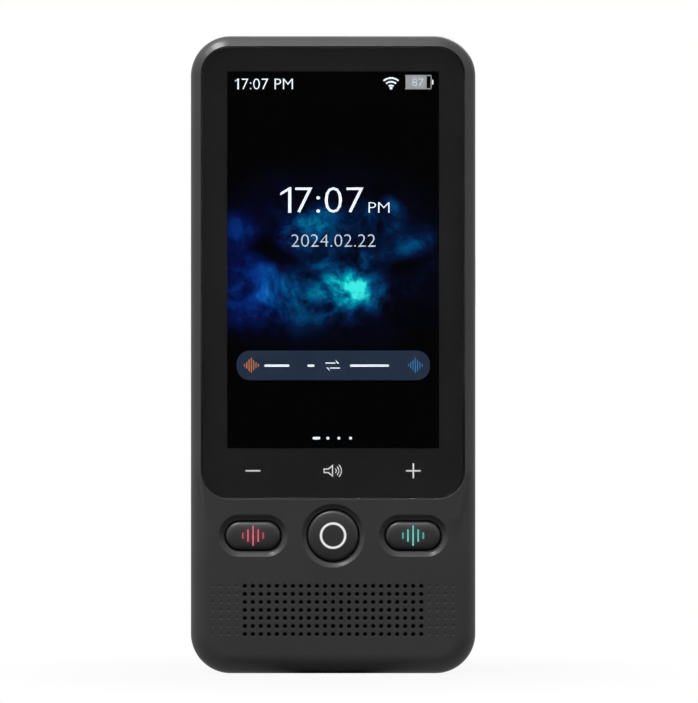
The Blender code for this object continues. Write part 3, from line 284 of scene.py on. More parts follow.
def band(seat, loop, profile, centre=(0, 0)):
    """A profile carried round a loop: point = centre + loop + outset * outward, at the profile's depth.

    The profile is a list of (outset, depth), where either is one number or one for each loop point.
    """
    points, outward = loop
    outset = np.array([np.broadcast_to(step[0], len(points)) for step in profile])
    depth = np.array([np.broadcast_to(step[1], len(points)) for step in profile])
    flat = points[None] + outset[..., None] * outward[None] + np.array(centre)
    return in_space(seat, flat[..., 0], flat[..., 1], depth).reshape(-1, 3), quads(len(profile), len(points))


def inside(points, loop):
    """True for each point that an even-odd count of crossings puts inside the loop."""
    start, end = loop, np.roll(loop, -1, axis=0)
    a, b = points[:, None, 0], points[:, None, 1]
    spans = (start[None, :, 1] > b) != (end[None, :, 1] > b)
    rise = np.where(end[:, 1] == start[:, 1], 1.0, end[:, 1] - start[:, 1])
    crossing = start[:, 0] + (b - start[:, 1]) * (end[:, 0] - start[:, 0]) / rise
    return (spans & (a < crossing)).sum(axis=1) % 2 == 1


def field(seat, loops, depth):
    """The flat face between closed loops at one depth, as Delaunay triangles that keep every loop's edges.

    Triangles whose middle lies inside an odd number of loops are kept, so a loop within a loop is a hole.
    """
    counts = [len(loop) for loop in loops]
    starts = np.cumsum([0] + counts[:-1])
    edges = np.vstack([start + np.column_stack([np.arange(count), (np.arange(count) + 1) % count])
                       for start, count in zip(starts, counts)])
    flat = np.vstack(loops) / mm
    found = delaunay_2d_cdt([Vector(point) for point in flat.tolist()], edges.tolist(), [], 0, 1e-6)
    points = np.array([tuple(point) for point in found[0]]) * mm
    faces = np.array(found[2])
    middles = points[faces].mean(axis=1)
    odd = np.zeros(len(faces), bool)
    for loop in loops:
        near = np.all((middles > loop.min(axis=0)) & (middles < loop.max(axis=0)), axis=1)
        odd[near] ^= inside(middles[near], loop)
    return in_space(seat, points[:, 0], points[:, 1], np.full(len(points), depth)), faces[odd]


def round_over(width, drop, steps, outset=0.0, depth=0.0):
    """A flat edge turned down into a wall: outset = width * (1 - sin), depth = drop * (1 - cos)."""
    turn = np.linspace(0, np.pi / 2, steps + 1)
    return [(outset + width * (1 - math.sin(angle)), depth + drop * (1 - math.cos(angle))) for angle in turn]


def slab(seat, loops, front, back, edge=0.0, steps=2):
    """A flat plate between two depths with the first loop as outline and the rest as holes.

    Each edge at the front is rounded over by the given radius.
    """
    patches = []
    for number, loop in enumerate(loops):
        side = 1 if number else -1
        profile = [(0.0, back), (0.0, front)]
        if edge:
            profile = [(0.0, back)] + [(side * outset, depth)
                                       for outset, depth in reversed(round_over(edge, edge, steps, 0.0,
                                                                                front))]
            profile.append((side * (edge + flat_lead), front))
        patches.append(band(seat, loop, profile))
    lead = edge + flat_lead if edge else 0.0
    patches.append(field(seat, [shifted(loop, lead if number else -lead) for number,
                                loop in enumerate(loops)],
                         front))
    patches.append(field(seat, [loop[0] for loop in loops], back))
    return patches


def add_piece(name, patches, material, body, nodes=(), sharp=38):
    """One closed piece from patches of points and faces, with shared points merged and faces outwards."""
    mesh = bpy.data.meshes.new(name)
    starts = np.cumsum([0] + [len(points) for points, faces in patches[:-1]])
    corners = [row for start, (points, faces) in zip(starts, patches) for row in (faces + start).tolist()]
    mesh.from_pydata(np.vstack([points for points, faces in patches]).tolist(), [], corners)
    shape = bmesh.new()
    shape.from_mesh(mesh)
    bmesh.ops.remove_doubles(shape, verts=shape.verts, dist=merge_gap)
    bmesh.ops.recalc_face_normals(shape, faces=shape.faces)
    shape.to_mesh(mesh)
    shape.free()
    mesh.shade_smooth()
    mesh.set_sharp_from_angle(angle=math.radians(sharp))
    mesh.materials.append(material)
    piece = bpy.data.objects.new(name, mesh)
    bpy.context.scene.collection.objects.link(piece)
    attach(piece, body)
    if nodes:
        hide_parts(*nodes)
    return piece


grain_tree = bpy.data.node_groups.new("moulded grain", "ShaderNodeTree")
grain_tree.interface.new_socket("Grain Scale", in_out="INPUT", socket_type="NodeSocketFloat")
grain_tree.interface.new_socket("Patch Scale", in_out="INPUT", socket_type="NodeSocketFloat")
grain_tree.interface.new_socket("Grain", in_out="OUTPUT", socket_type="NodeSocketFloat")
grain_tree.interface.new_socket("Patches", in_out="OUTPUT", socket_type="NodeSocketFloat")
given = add_node(grain_tree, "NodeGroupInput")
place = add_node(grain_tree, "ShaderNodeTexCoord")
pits = add_node(grain_tree, "ShaderNodeTexNoise", {"Vector": place.outputs["Object"], "Detail": 2.0,
                                                   "Scale": given.outputs["Grain Scale"], "Roughness": 0.6})
cloud = add_node(grain_tree, "ShaderNodeTexNoise", {"Vector": place.outputs["Object"], "Detail": 4.0,
                                                    "Scale": given.outputs["Patch Scale"], "Roughness": 0.55})
add_node(grain_tree, "NodeGroupOutput", {"Grain": pits.outputs[0], "Patches": cloud.outputs[0]})


def moulded_grain(tree, grain_scale, patch_scale):
    """The grain group in a material's tree."""
    scales = {"Grain Scale": grain_scale, "Patch Scale": patch_scale}
    return add_node(tree, "ShaderNodeGroup", scales, node_tree=grain_tree)


def mixed(tree, share, first, second):
    """One colour run into another by a share."""
    colours = {6: first, 7: second}
    colours = {key: value if isinstance(value, bpy.types.NodeSocket) else (*value, 1)
               for key, value in colours.items()}
    return add_node(tree, "ShaderNodeMix", {0: share, **colours}, data_type="RGBA").outputs[2]


def grained(name, dark, light, roughness, spread, grain_scale, bump, metallic=0.0, patch_scale=60.0,
            specular=0.5, coat=0.0):
    """A solid finish: the colour runs between two shades in patches, and grain sets roughness and bump."""
    material, tree = new_tree(name)
    grain = moulded_grain(tree, grain_scale, patch_scale)
    bumps = add_node(tree, "ShaderNodeBump", {"Strength": 0.5, "Distance": bump,
                                              "Height": grain.outputs["Grain"]})
    shader = add_node(tree, "ShaderNodeBsdfPrincipled", {
        "Base Color": mixed(tree, remap(tree, grain.outputs["Patches"], 0.3, 0.7), dark, light),
        "Roughness": remap(tree, grain.outputs["Grain"], 0.3, 0.7, roughness - spread, roughness + spread),
        "Normal": bumps.outputs["Normal"], "Metallic": metallic, "Specular IOR Level": specular,
        "Coat Weight": coat, "Coat Roughness": 0.24,
    })
    add_node(tree, "ShaderNodeOutputMaterial", {"Surface": shader.outputs[0]})
    return material


charcoal = grained("charcoal moulded plastic", (0.033, 0.033, 0.034), (0.038, 0.038, 0.039), 0.50, 0.05,
                   5200.0, 0.004 * mm, specular=0.25, coat=0.22)

face = ((0, front_y, 0), (1, 0, 0), (0, 0, 1), (0, 1, 0))
left_wall = ((-body_half_width, front_y, 0), (0, 0, 1), (0, 1, 0), (1, 0, 0))
right_wall = ((body_half_width, front_y, 0), (0, 0, 1), (0, 1, 0), (-1, 0, 0))
top_wall = ((0, front_y, housing_high.z), (1, 0, 0), (0, 1, 0), (0, 0, -1))
bottom_wall = ((0, front_y, 0), (1, 0, 0), (0, 1, 0), (0, 0, 1))

body_loop, body_outward = rounded_loop(body_half_width, body_half_height, body_corner, 24, 1 * mm)
body_loop = body_loop + (0, body_half_height)
body = (body_loop, body_outward)
recess_half = glass_high.x + recess_gap
recess_middle = (0, (glass_low.z + glass_top) / 2)
recess_half_height = (glass_top - glass_low.z) / 2 + recess_gap
recess_loop, recess_outward = rounded_loop(recess_half, recess_half_height, recess_corner, 24, 2 * mm)
recess = (recess_loop + recess_middle, recess_outward)

# The rim reaches from the outline in to the recess: the largest step inwards that stays clear of it.
# It has a bright inner facet and a steep outer slope, and turns into the deck's wider soft edge below.
reach = np.linspace(0, 5, 501)[:, None] * mm
inward = body_loop[None] - reach[..., None] * body_outward[None]
beyond = np.abs(inward - recess_middle) - (recess_half - recess_corner, recess_half_height - recess_corner)
clear = np.linalg.norm(np.maximum(beyond, 0), axis=2) + np.minimum(beyond.max(axis=2), 0) - recess_corner
rim_limit = np.where(clear > recess_edge + rim_lead, reach, 0).max(axis=0)
rim = np.minimum(rim_limit, housing_high.z - glass_top)
upper = np.clip((body_loop[:, 1] - rim_starts) / rim_blend, 0, 1)
upper = upper * upper * (3 - 2 * upper)
steep = np.linspace(math.radians(slope_starts), np.pi / 2, 13)
gentle = np.linspace(0, np.pi / 2, 13)
slope_share = (1 - np.sin(steep[1:])) / (1 - np.sin(steep[0]))
drop_share = (np.cos(steep[0]) - np.cos(steep[1:])) / np.cos(steep[0])
rim_inset = [rim, rim - facet_width] + [(rim - facet_width) * share for share in slope_share]
rim_depth = [0, facet_drop] + [facet_drop + (fillet_depth - facet_drop) * share for share in drop_share]
deck_scale = np.minimum(rim_limit / (deck_fillet_width + flat_lead), 1)
deck_inset = [deck_scale * (deck_fillet_width + flat_lead)]
deck_inset += [deck_scale * deck_fillet_width * (1 - np.sin(angle)) for angle in gentle]
deck_depth = [0] + [fillet_depth * (1 - np.cos(angle)) for angle in gentle]
edge_profile = [(-(upper * a + (1 - upper) * b), upper * c + (1 - upper) * d)
                for a, b, c, d in zip(rim_inset, deck_inset, rim_depth, deck_depth)]
wall_starts = fillet_depth + flat_lead
edge_profile.append((0, wall_starts))
wall_ends = seam_depth - seam_edge - flat_lead
seam_profile = [(0, wall_ends)]
seam_profile += [(-outset, depth) for outset, depth in
                 [(seam_edge * (1 - math.cos(angle)), seam_depth - seam_edge * (1 - math.sin(angle)))
                  for angle in np.linspace(0, np.pi / 2, 4)]]
seam_profile.append((-wall, seam_depth))

# Openings in the side walls, each as its seat, the wall's outward direction, which coordinate of the
# outline runs along that wall, its loop and its centre.
tray_low, tray_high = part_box("card_tray")
power_low, power_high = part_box("power_key_cap")
port_low, port_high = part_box("usb_c_receptacle")
side_depth = (tray_low.y + tray_high.y) / 2 - front_y
tray_length = 11.8 * mm
tray_width = 2.4 * mm
power_length = 12.0 * mm
power_width = 3.0 * mm
slot_gap = 0.2 * mm
port_gap = 0.25 * mm
port_corner = 1.3 * mm
sound_hole = 0.5 * mm
opening_edge = 0.15 * mm
panel_margin = 2.3 * mm
tray_middle = ((tray_low.z + tray_high.z) / 2, side_depth)
power_middle = ((power_low.z + power_high.z) / 2, side_depth)
port_middle = ((port_low.x + port_high.x) / 2, (port_low.y + port_high.y) / 2 - front_y)


def slot_loop(length, width, gap):
    """A loop with round ends, a gap larger all round than a piece of this length and width."""
    return rounded_loop(length / 2 + gap, width / 2 + gap, width / 2 + gap, 10)


def hole_middle(node):
    """The middle of a microphone in its wall."""
    low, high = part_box(node)
    return (low.x + high.x) / 2, (low.y + high.y) / 2 - front_y


port_hole = rounded_loop((port_high.x - port_low.x) / 2 + port_gap, (port_high.y - port_low.y) / 2 + port_gap,
                         port_corner + port_gap, 8)
round_hole = rounded_loop(sound_hole, sound_hole, sound_hole, 6)
openings = (
    (left_wall, (-1, 0), 1, slot_loop(tray_length, tray_width, slot_gap), tray_middle),
    (right_wall, (1, 0), 1, slot_loop(power_length, power_width, slot_gap), power_middle),
    (top_wall, (0, 1), 0, port_hole, port_middle),
    (top_wall, (0, 1), 0, round_hole, hole_middle("upper_microphone")),
    (bottom_wall, (0, -1), 0, round_hole, hole_middle("lower_microphone")),
)


def pierced_wall(inset, first_depth, last_depth, outset):
    """The wall strip between two depths, with a flat panel in place of its faces round each opening."""
    points, faces = band(face, body, [(-inset, first_depth), (-inset, last_depth)])
    keep = np.ones(len(body_loop), bool)
    patches = []
    for seat, outward, axis, loop, centre in openings:
        hole = shifted(loop, outset, centre)
        along = body_loop[:, axis]
        on_panel = (body_outward @ np.array(outward) > 0.999)
        on_panel &= (along > hole[:, 0].min() - panel_margin) & (along < hole[:, 0].max() + panel_margin)
        keep &= ~(on_panel & np.roll(on_panel, -1))
        ends = np.sort(along[on_panel])
        border = np.vstack([np.column_stack([ends, np.full(len(ends), first_depth)]),
                            np.column_stack([ends[::-1], np.full(len(ends), last_depth)])])
        patches.append(field(seat, [border, hole], inset))
    return patches + [(points, faces[keep])]


def pierced_edges():
    """The short passage of each opening through the wall, rounded over at its outer end."""
    profile = [(opening_edge + flat_lead, 0)] + round_over(opening_edge, opening_edge, 3) + [(0, wall)]
    return [band(seat, loop, profile, centre) for seat, outward, axis, loop, centre in openings]


# Key wells: a soft slope runs in to each key's hole. The wells share the key row with the caps.
key_row = (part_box("home_key_cap")[0].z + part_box("home_key_cap")[1].z) / 2
voice_x = (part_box("right_voice_key_cap")[0].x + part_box("right_voice_key_cap")[1].x) / 2
voice_radius = 3.275 * mm
voice_straight = 3.175 * mm
home_radius = 5.947 * mm
key_gap = 0.35 * mm
voice_well = 1.2 * mm
home_well = 1.05 * mm
well_share = 0.72


def key_loop(radius, straight, steps=24):
    """The outline of a pill: two half circles joined by straights, or a circle where the straight is 0."""
    return rounded_loop(straight + radius, radius, radius, steps, 1 * mm)


def well_profile(width):
    """A dished slope, steep at its outer edge: depth = well share * width * (1 - (1 - share) squared)."""
    share = np.linspace(0, 1, 10)
    depth = well_share * width * (1 - (1 - share) ** 2)
    steps = [(width + 2 * flat_lead, 0), (width + flat_lead, 0), (width + flat_lead / 4, flat_lead / 4)]
    steps += list(zip(width * (1 - share[1:]), depth[1:] + flat_lead / 4))
    return steps + [(0, width + flat_lead), (0, deck_thickness)]


wells = (
    (key_loop(voice_radius + key_gap, voice_straight), voice_well, (-voice_x, key_row)),
    (key_loop(voice_radius + key_gap, voice_straight), voice_well, (voice_x, key_row)),
    (key_loop(home_radius + key_gap, 0, 40), home_well, (0, key_row)),
)

# Grille: 23 by 7 drilled holes with a softened edge, and on each side 4 columns of shallow blind dimples
# on the same pitch. The plate is thinned from behind in a pocket, where the speaker sits.
mesh_low, mesh_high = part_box("speaker_dust_mesh")
grille_row = (mesh_low.z + mesh_high.z) / 2
grille_pitch = 1.884 * mm
grille_columns = 23
grille_rows = 7
dimple_columns = 4
hole_radius = 0.5 * mm
hole_edge = 0.07 * mm
plate_thickness = 1.2 * mm
pocket_margin = 0.8 * mm
pocket_corner = 2.0 * mm
dimple_radius = 0.42 * mm
dimple_depth = 0.07 * mm

across, up = np.meshgrid((np.arange(grille_columns) - (grille_columns - 1) / 2) * grille_pitch,
                         (np.arange(grille_rows) - (grille_rows - 1) / 2) * grille_pitch + grille_row)
hole_centres = np.column_stack([across.ravel(), up.ravel()])
first_dimple = (grille_columns + 1) / 2
side_columns = (first_dimple + np.arange(dimple_columns)) * grille_pitch
across, up = np.meshgrid(np.concatenate([-side_columns[::-1], side_columns]),
                         (np.arange(grille_rows) - (grille_rows - 1) / 2) * grille_pitch + grille_row)
dimple_centres = np.column_stack([across.ravel(), up.ravel()])
hole_loop = rounded_loop(hole_radius, hole_radius, hole_radius, 5)
dimple_loop = rounded_loop(dimple_radius, dimple_radius, dimple_radius, 4)


def repeated(patch, centres):
    """One patch made at the face's origin, set at many centres at once."""
    points, faces = patch
    moves = np.column_stack([centres[:, 0], np.zeros(len(centres)), centres[:, 1]])
    steps = np.arange(len(centres))[:, None, None] * len(points)
    return (points[None] + moves[:, None]).reshape(-1, 3), (faces[None] + steps).reshape(-1, faces.shape[1])


hole_profile = [(hole_edge + flat_lead / 2, 0)] + round_over(hole_edge, hole_edge, 2) + [(0, plate_thickness)]
share = np.linspace(0, 1, 5)
dimple_profile = [(flat_lead / 2, 0)]
dimple_profile += [(-dimple_radius * part, dimple_depth * (1 - (1 - part) ** 2)) for part in share]
pocket_half_a = (grille_columns - 1) / 2 * grille_pitch + hole_radius + pocket_margin
pocket_half_b = (grille_rows - 1) / 2 * grille_pitch + hole_radius + pocket_margin
pocket_points, pocket_outward = rounded_loop(pocket_half_a, pocket_half_b, pocket_corner, 6)
pocket = (pocket_points + (0, grille_row), pocket_outward)

# The window behind the glass lets the display through, a little larger than its panel.
panel_low, panel_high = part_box("lcd_panel")
window_gap = 0.3 * mm
window_middle = (0, (panel_low.z + panel_high.z) / 2)
window_points, window_outward = rounded_loop(panel_high.x + window_gap,
                                             (panel_high.z - panel_low.z) / 2 + window_gap, 0.3 * mm, 3,
                                             4 * mm)
window = (window_points + window_middle, window_outward)

patches = [band(face, body, edge_profile), band(face, body, seam_profile)]
patches += pierced_wall(0, wall_starts, wall_ends, opening_edge + flat_lead)
patches += pierced_wall(wall, seam_depth, deck_thickness, 0)
patches += pierced_edges()
patches.append(band(face, recess, [(recess_edge + rim_lead / 2, 0)] + round_over(recess_edge, recess_edge, 3)
                    + [(0, ledge_depth)]))
patches.append(field(face, [recess[0], window[0]], ledge_depth))
patches.append(band(face, window, [(0, ledge_depth), (0, deck_thickness)]))
patches += [band(face, loop, well_profile(width), centre) for loop, width, centre in wells]
patches.append(repeated(band(face, hole_loop, hole_profile), hole_centres))
patches.append(repeated(band(face, dimple_loop, dimple_profile), dimple_centres))
patches.append(band(face, pocket, [(0, plate_thickness), (0, deck_thickness)]))
patches.append(field(face, [pocket[0]] + [hole_loop[0] + centre for centre in hole_centres], plate_thickness))
patches.append(field(face, [shifted(body, -wall), window[0], pocket[0]]
                     + [shifted(loop, 0, centre) for loop, width, centre in wells], deck_thickness))
face_loops = [body_loop + edge_profile[0][0][:, None] * body_outward,
              shifted(recess, recess_edge + rim_lead / 2)]
face_loops += [shifted(loop, width + 2 * flat_lead, centre) for loop, width, centre in wells]
face_loops += [shifted(hole_loop, hole_edge + flat_lead / 2, centre) for centre in hole_centres]
face_loops += [shifted(dimple_loop, flat_lead / 2, centre) for centre in dimple_centres]
patches.append(field(face, face_loops, 0))
add_piece("front_housing_shell", patches, charcoal, "chassis", ["front_housing"], 30)


# Rear housing: the same moulded plastic, softer at the back. A land closes the seam inside its shadow line,
# a tongue runs up inside the front housing, and stepped openings take the camera window and flash lens.
back_depth = cad_high.y - front_y
rear_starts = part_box("rear_housing")[0].y - front_y
rear_parting = 10.7 * mm
land_depth = 10.54 * mm
land_inset = 0.5 * mm
rear_fillet = 2.6 * mm
tongue_inset = 2.0 * mm
tongue_thickness = 0.9 * mm
rear_inner_depth = 11.75 * mm
seat_depth = 12.6 * mm
camera_seat = 4.75 * mm
camera_hole = 3.6 * mm
flash_seat = 2.35 * mm
flash_hole = 1.35 * mm
seat_edge = 0.2 * mm


def middle(node):
    """The middle of a CAD node seen from the front, as x and z."""
    low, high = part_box(node)
    return (low.x + high.x) / 2, (low.z + high.z) / 2


camera_middle = middle("camera_window")
flash_middle = middle("flash_lens")
turn = np.linspace(0, np.pi / 2, 15)
rear_profile = [(-tongue_inset, land_depth), (-land_inset, land_depth), (-land_inset, rear_parting)]
rear_profile += [(-seam_edge - flat_lead, rear_parting), (-seam_edge, rear_parting)]
rear_profile += [(-seam_edge * (1 - math.sin(angle)), rear_parting + seam_edge * (1 - math.cos(angle)))
                 for angle in np.linspace(0, np.pi / 2, 4)[1:]]
rear_profile += [(0, rear_parting + seam_edge + flat_lead)]
rear_profile += [(-rear_fillet * (1 - math.cos(angle)), back_depth - rear_fillet * (1 - math.sin(angle)))
                 for angle in turn]
rear_profile += [(-rear_fillet - flat_lead, back_depth)]
tongue_profile = [(-tongue_inset, land_depth), (-tongue_inset, rear_starts),
                  (-tongue_inset - tongue_thickness, rear_starts),
                  (-tongue_inset - tongue_thickness, rear_inner_depth)]
patches = [band(face, body, rear_profile), band(face, body, tongue_profile)]
back_loops = [shifted(body, -rear_fillet - flat_lead)]
inner_loops = [shifted(body, -tongue_inset - tongue_thickness)]
for centre, seat_radius, hole in ((camera_middle, camera_seat, camera_hole),
                                  (flash_middle, flash_seat, flash_hole)):
    seat_loop = rounded_loop(seat_radius, seat_radius, seat_radius, 16)
    inner_loop = rounded_loop(hole, hole, hole, 16)
    edge = [(seat_edge + flat_lead, back_depth)]
    edge += [(outset, back_depth - drop) for outset, drop in round_over(seat_edge, seat_edge, 3)]
    patches.append(band(face, seat_loop, edge + [(0, seat_depth)], centre))
    patches.append(band(face, inner_loop, [(0, seat_depth), (0, rear_inner_depth)], centre))
    patches.append(field(face, [shifted(seat_loop, 0, centre), shifted(inner_loop, 0, centre)], seat_depth))
    back_loops.append(shifted(seat_loop, seat_edge + flat_lead, centre))
    inner_loops.append(shifted(inner_loop, 0, centre))
patches += [field(face, back_loops, back_depth), field(face, inner_loops, rear_inner_depth)]
add_piece("rear_housing_shell", patches, charcoal, "chassis", ["rear_housing"], 30)


# Cover glass: one clear pane with a softened front edge, let into the housing and taped round its border.
# Its back carries a black printed border with a clear window for the display.
glass_front = glass_low.y - front_y
glass_back = glass_high.y - front_y
glass_corner = 6.4 * mm
glass_edge = 0.15 * mm
print_inset = 0.25 * mm
print_front = 0.96 * mm
print_back = 1.0 * mm
active_half_width = 24.9 * mm
active_low = 53.0 * mm
active_high = 141.6 * mm

smudged, tree = new_tree("clear cover glass")
grain = moulded_grain(tree, 900.0, 45.0)
shader = add_node(tree, "ShaderNodeBsdfPrincipled", {
    "Base Color": mixed(tree, grain.outputs["Patches"], (0.985, 0.99, 0.99), (1.0, 1.0, 1.0)),
    "Roughness": remap(tree, grain.outputs["Patches"], 0.5, 0.8, 0.0, 0.03),
    "IOR": 1.5, "Transmission Weight": 1.0, "Metallic": 0.0,
})
add_node(tree, "ShaderNodeOutputMaterial", {"Surface": shader.outputs[0]})
glass_points, glass_outward = rounded_loop(glass_high.x, (glass_top - glass_low.z) / 2, glass_corner, 24,
                                           4 * mm)
glass_loop = (glass_points + recess_middle, glass_outward)
add_piece("cover_glass_pane", slab(face, [glass_loop], glass_front, glass_back, glass_edge, 4), smudged,
          "chassis", ["cover_glass"])

print_black = grained("black screen print", (0.0250, 0.0250, 0.0255), (0.0285, 0.0285, 0.0290), 0.65, 0.08,
                      2500.0,
                      0.002 * mm, specular=0.1)
active_points, active_outward = rounded_loop(active_half_width, (active_high - active_low) / 2, 0.2 * mm, 2,
                                             4 * mm)
active_middle = (0, (active_low + active_high) / 2)
border = (shifted(glass_loop, -print_inset), glass_outward)
add_piece("cover_glass_print", slab(face, [border, (active_points + active_middle, active_outward)],
                                    print_front, print_back), print_black, "chassis")


# Touch marks: a minus, a loudspeaker and a plus under the glass, lit from behind in a soft white.
# They are thin printed strokes just in front of the black border.
touch_row = 47.72 * mm
touch_front = 0.953 * mm
touch_back = 0.958 * mm
stroke = 0.36 * mm
touch_length = 3.5 * mm
touch_x = 18.85 * mm


def outline(points):
    """A loop from plain points, for plates with square edges."""
    points = np.array(points, float)
    return points, np.zeros_like(points)


def box_loop(x, z, width, height, radius=0.0):
    """A rectangle about a centre, with round corners if a radius is given."""
    if radius:
        points, outward = rounded_loop(width / 2, height / 2, radius, 6, 4 * mm)
        return points + (x, z), outward
    return outline([(x - width / 2, z - height / 2), (x + width / 2, z - height / 2),
                    (x + width / 2, z + height / 2), (x - width / 2, z + height / 2)])


def arc_loop(x, z, radius, thickness, start, end):
    """A bent stroke about a centre, between two angles in degrees from the x axis."""
    angle = np.radians(np.linspace(start, end, 17))
    ray = np.column_stack([np.cos(angle), np.sin(angle)])
    return outline(np.vstack([(radius + thickness / 2) * ray, (radius - thickness / 2) * ray[::-1]]) + (x, z))


def plates(loops, front, back):
    """A thin plate for each loop, all in one piece's patches."""
    return [patch for loop in loops for patch in slab(face, [loop], front, back)]


def lit(name, colour, strength, edge_colour, across=None):
    """A mark that shines: its colour wavers slightly, as a printed or lit dot pattern does.

    across, where given, puts into the tree how far a point lies from the mark's middle line, 1 at its edge.
    """
    material, tree = new_tree(name)
    grain = moulded_grain(tree, 700.0, 180.0)
    paint = mixed(tree, remap(tree, grain.outputs["Grain"], 0.35, 0.65), edge_colour, colour)
    if across:
        paint = mixed(tree, remap(tree, across(tree), 0.35, 1.0, smooth=True), paint,
                      tuple(part * 0.2 for part in edge_colour))
    shader = add_node(tree, "ShaderNodeBsdfPrincipled", {"Base Color": paint, "Roughness": 0.5,
                                                         "Emission Color": paint,
                                                         "Emission Strength": strength})
    add_node(tree, "ShaderNodeOutputMaterial", {"Surface": shader.outputs[0]})
    return material


touch_white = lit("touch mark white", (0.80, 0.80, 0.80), 0.55, (0.66, 0.66, 0.66))
horn = 0.55 * mm
loops = [
    box_loop(-touch_x, touch_row, touch_length, stroke),
    box_loop(touch_x, touch_row, touch_length, stroke),
    box_loop(touch_x, touch_row + touch_length / 4 + stroke / 4, stroke, touch_length / 2 - stroke / 2),
    box_loop(touch_x, touch_row - touch_length / 4 - stroke / 4, stroke, touch_length / 2 - stroke / 2),
    outline([(-2.0 * mm, touch_row - horn), (-1.2 * mm, touch_row - horn), (0, touch_row - 1.5 * mm),
             (0, touch_row + 1.5 * mm), (-1.2 * mm, touch_row + horn), (-2.0 * mm, touch_row + horn),
             (-2.0 * mm, touch_row + horn / 2), (-1.05 * mm, touch_row + horn / 2),
             (-0.28 * mm, touch_row + 0.95 * mm), (-0.28 * mm, touch_row - 0.95 * mm),
             (-1.05 * mm, touch_row - horn / 2), (-2.0 * mm, touch_row - horn / 2)]),
    box_loop(-2.12 * mm, touch_row, 0.25 * mm, 2 * horn),
]
loops += [arc_loop(0, touch_row, radius, 0.22 * mm, -46, 46) for radius in (0.75 * mm, 1.35 * mm, 1.95 * mm)]
add_piece("touch_marks", plates(loops, touch_front, touch_back), touch_white, "chassis")


# Display: the panel behind the window glows with a cloudy night picture, black at the top and the foot,
# navy and teal across the middle, from noise laid over a few soft patches.
def patch_of_light(tree, place, x, z, half_width, half_height, turned=0.0):
    """1 in the middle of an oval on the panel and 0 at its rim and beyond."""
    seat = add_node(tree, "ShaderNodeMapping", {"Vector": place, "Location": (x, 0, z),
                                                "Rotation": (0, turned, 0),
                                                "Scale": (half_width, 1e6, half_height)},
                                                vector_type="TEXTURE")
    away = add_node(tree, "ShaderNodeVectorMath", {0: seat.outputs[0]}, operation="LENGTH")
    return remap(tree, away.outputs["Value"], 1.0, 0.0, 0.0, 1.0, True)


def sum_of(tree, values):
    """All values added together."""
    total = values[0]
    for value in values[1:]:
        total = calculate(tree, "ADD", total, value)
    return total


night, tree = new_tree("lit display")
place = add_node(tree, "ShaderNodeTexCoord").outputs["Object"]
# Each patch has its middle and half sizes in mm, its turn and its strength. A negative one is a dark gap.
ovals = (
    (0.0, 97.0, 38.0, 28.0, 0.0, 0.38),
    (2.0, 90.5, 20.0, 11.0, -0.3, 0.44),
    (5.5, 90.0, 9.0, 6.0, 0.5, 0.58),
    (-6.0, 104.5, 12.0, 6.0, -0.5, 0.46),
    (14.0, 110.0, 5.0, 2.6, 0.7, 0.40),
    (19.5, 101.0, 7.0, 5.0, -0.6, 0.34),
    (-18.0, 88.5, 15.0, 12.0, -0.3, 0.42),
    (-22.0, 103.0, 7.0, 9.0, 0.0, 0.24),
    (9.0, 106.0, 9.0, 6.0, 0.3, 0.26),
    (-12.0, 98.5, 13.0, 5.0, 0.5, -0.30),
    (15.0, 95.5, 12.0, 4.6, -0.5, -0.28),
)
light = sum_of(tree, [calculate(tree, "MULTIPLY", patch_of_light(tree, place, x * mm, z * mm, a * mm, b * mm,
                                                                 turn),
                                strength) for x, z, a, b, turn, strength in ovals])
cloud = add_node(tree, "ShaderNodeTexNoise", {"Vector": place, "Scale": 100.0, "Detail": 9.0,
                                              "Roughness": 0.58,
                                              "Distortion": 0.35})
wisps = add_node(tree, "ShaderNodeTexNoise", {"Vector": place, "Scale": 120.0, "Detail": 6.0,
                                              "Roughness": 0.5,
                                              "Distortion": 0.5})
ridge = calculate(tree, "ABSOLUTE", calculate(tree, "SUBTRACT", wisps.outputs[0], 0.5))
thread = remap(tree, ridge, 0.05, 0.0, 0.0, 0.13)
body_of_cloud = remap(tree, cloud.outputs[0], 0.32, 0.68, 0.10, 1.55)
brightness = calculate(tree, "MULTIPLY", light, calculate(tree, "ADD", body_of_cloud, thread))


def ramp(tree, value, stops):
    """The colour of a value along a row of (position, colour) stops."""
    node = add_node(tree, "ShaderNodeValToRGB", {"Fac": value})
    node.color_ramp.elements[0].color = (*stops[0][1], 1)
    node.color_ramp.elements[1].color = (*stops[-1][1], 1)
    for position, colour in stops[1:-1]:
        node.color_ramp.elements.new(position).color = (*colour, 1)
    return node.outputs["Color"]


black = (0.0, 0.0, 0.0)
teal = ramp(tree, brightness, ((0.0, black), (0.10, (0.0004, 0.0010, 0.006)), (0.26, (0.0006, 0.009, 0.046)),
                               (0.45, (0.0, 0.060, 0.18)), (0.64, (0.0, 0.21, 0.34)),
                               (0.82, (0.004, 0.52, 0.56)),
                               (1.0, (0.05, 0.90, 0.84))))
blue = ramp(tree, brightness, ((0.0, black), (0.10, (0.0004, 0.0008, 0.008)), (0.26, (0.0006, 0.005, 0.060)),
                               (0.50, (0.001, 0.035, 0.24)), (0.75, (0.006, 0.11, 0.52)),
                               (1.0, (0.02, 0.22, 0.70))))
split = add_node(tree, "ShaderNodeSeparateXYZ", {0: place})
on_front = calculate(tree, "LESS_THAN", split.outputs["Y"], panel_low.y + 0.02 * mm)
hue = mixed(tree, remap(tree, split.outputs["X"], -6 * mm, -19 * mm, smooth=True), teal, blue)
shown = mixed(tree, on_front, black, hue)
shader = add_node(tree, "ShaderNodeBsdfPrincipled", {"Base Color": (0.001, 0.001, 0.001, 1), "Roughness": 0.5,
                                                     "Specular IOR Level": 0.0,
                                                     "Emission Color": shown, "Emission Strength": 1.0})
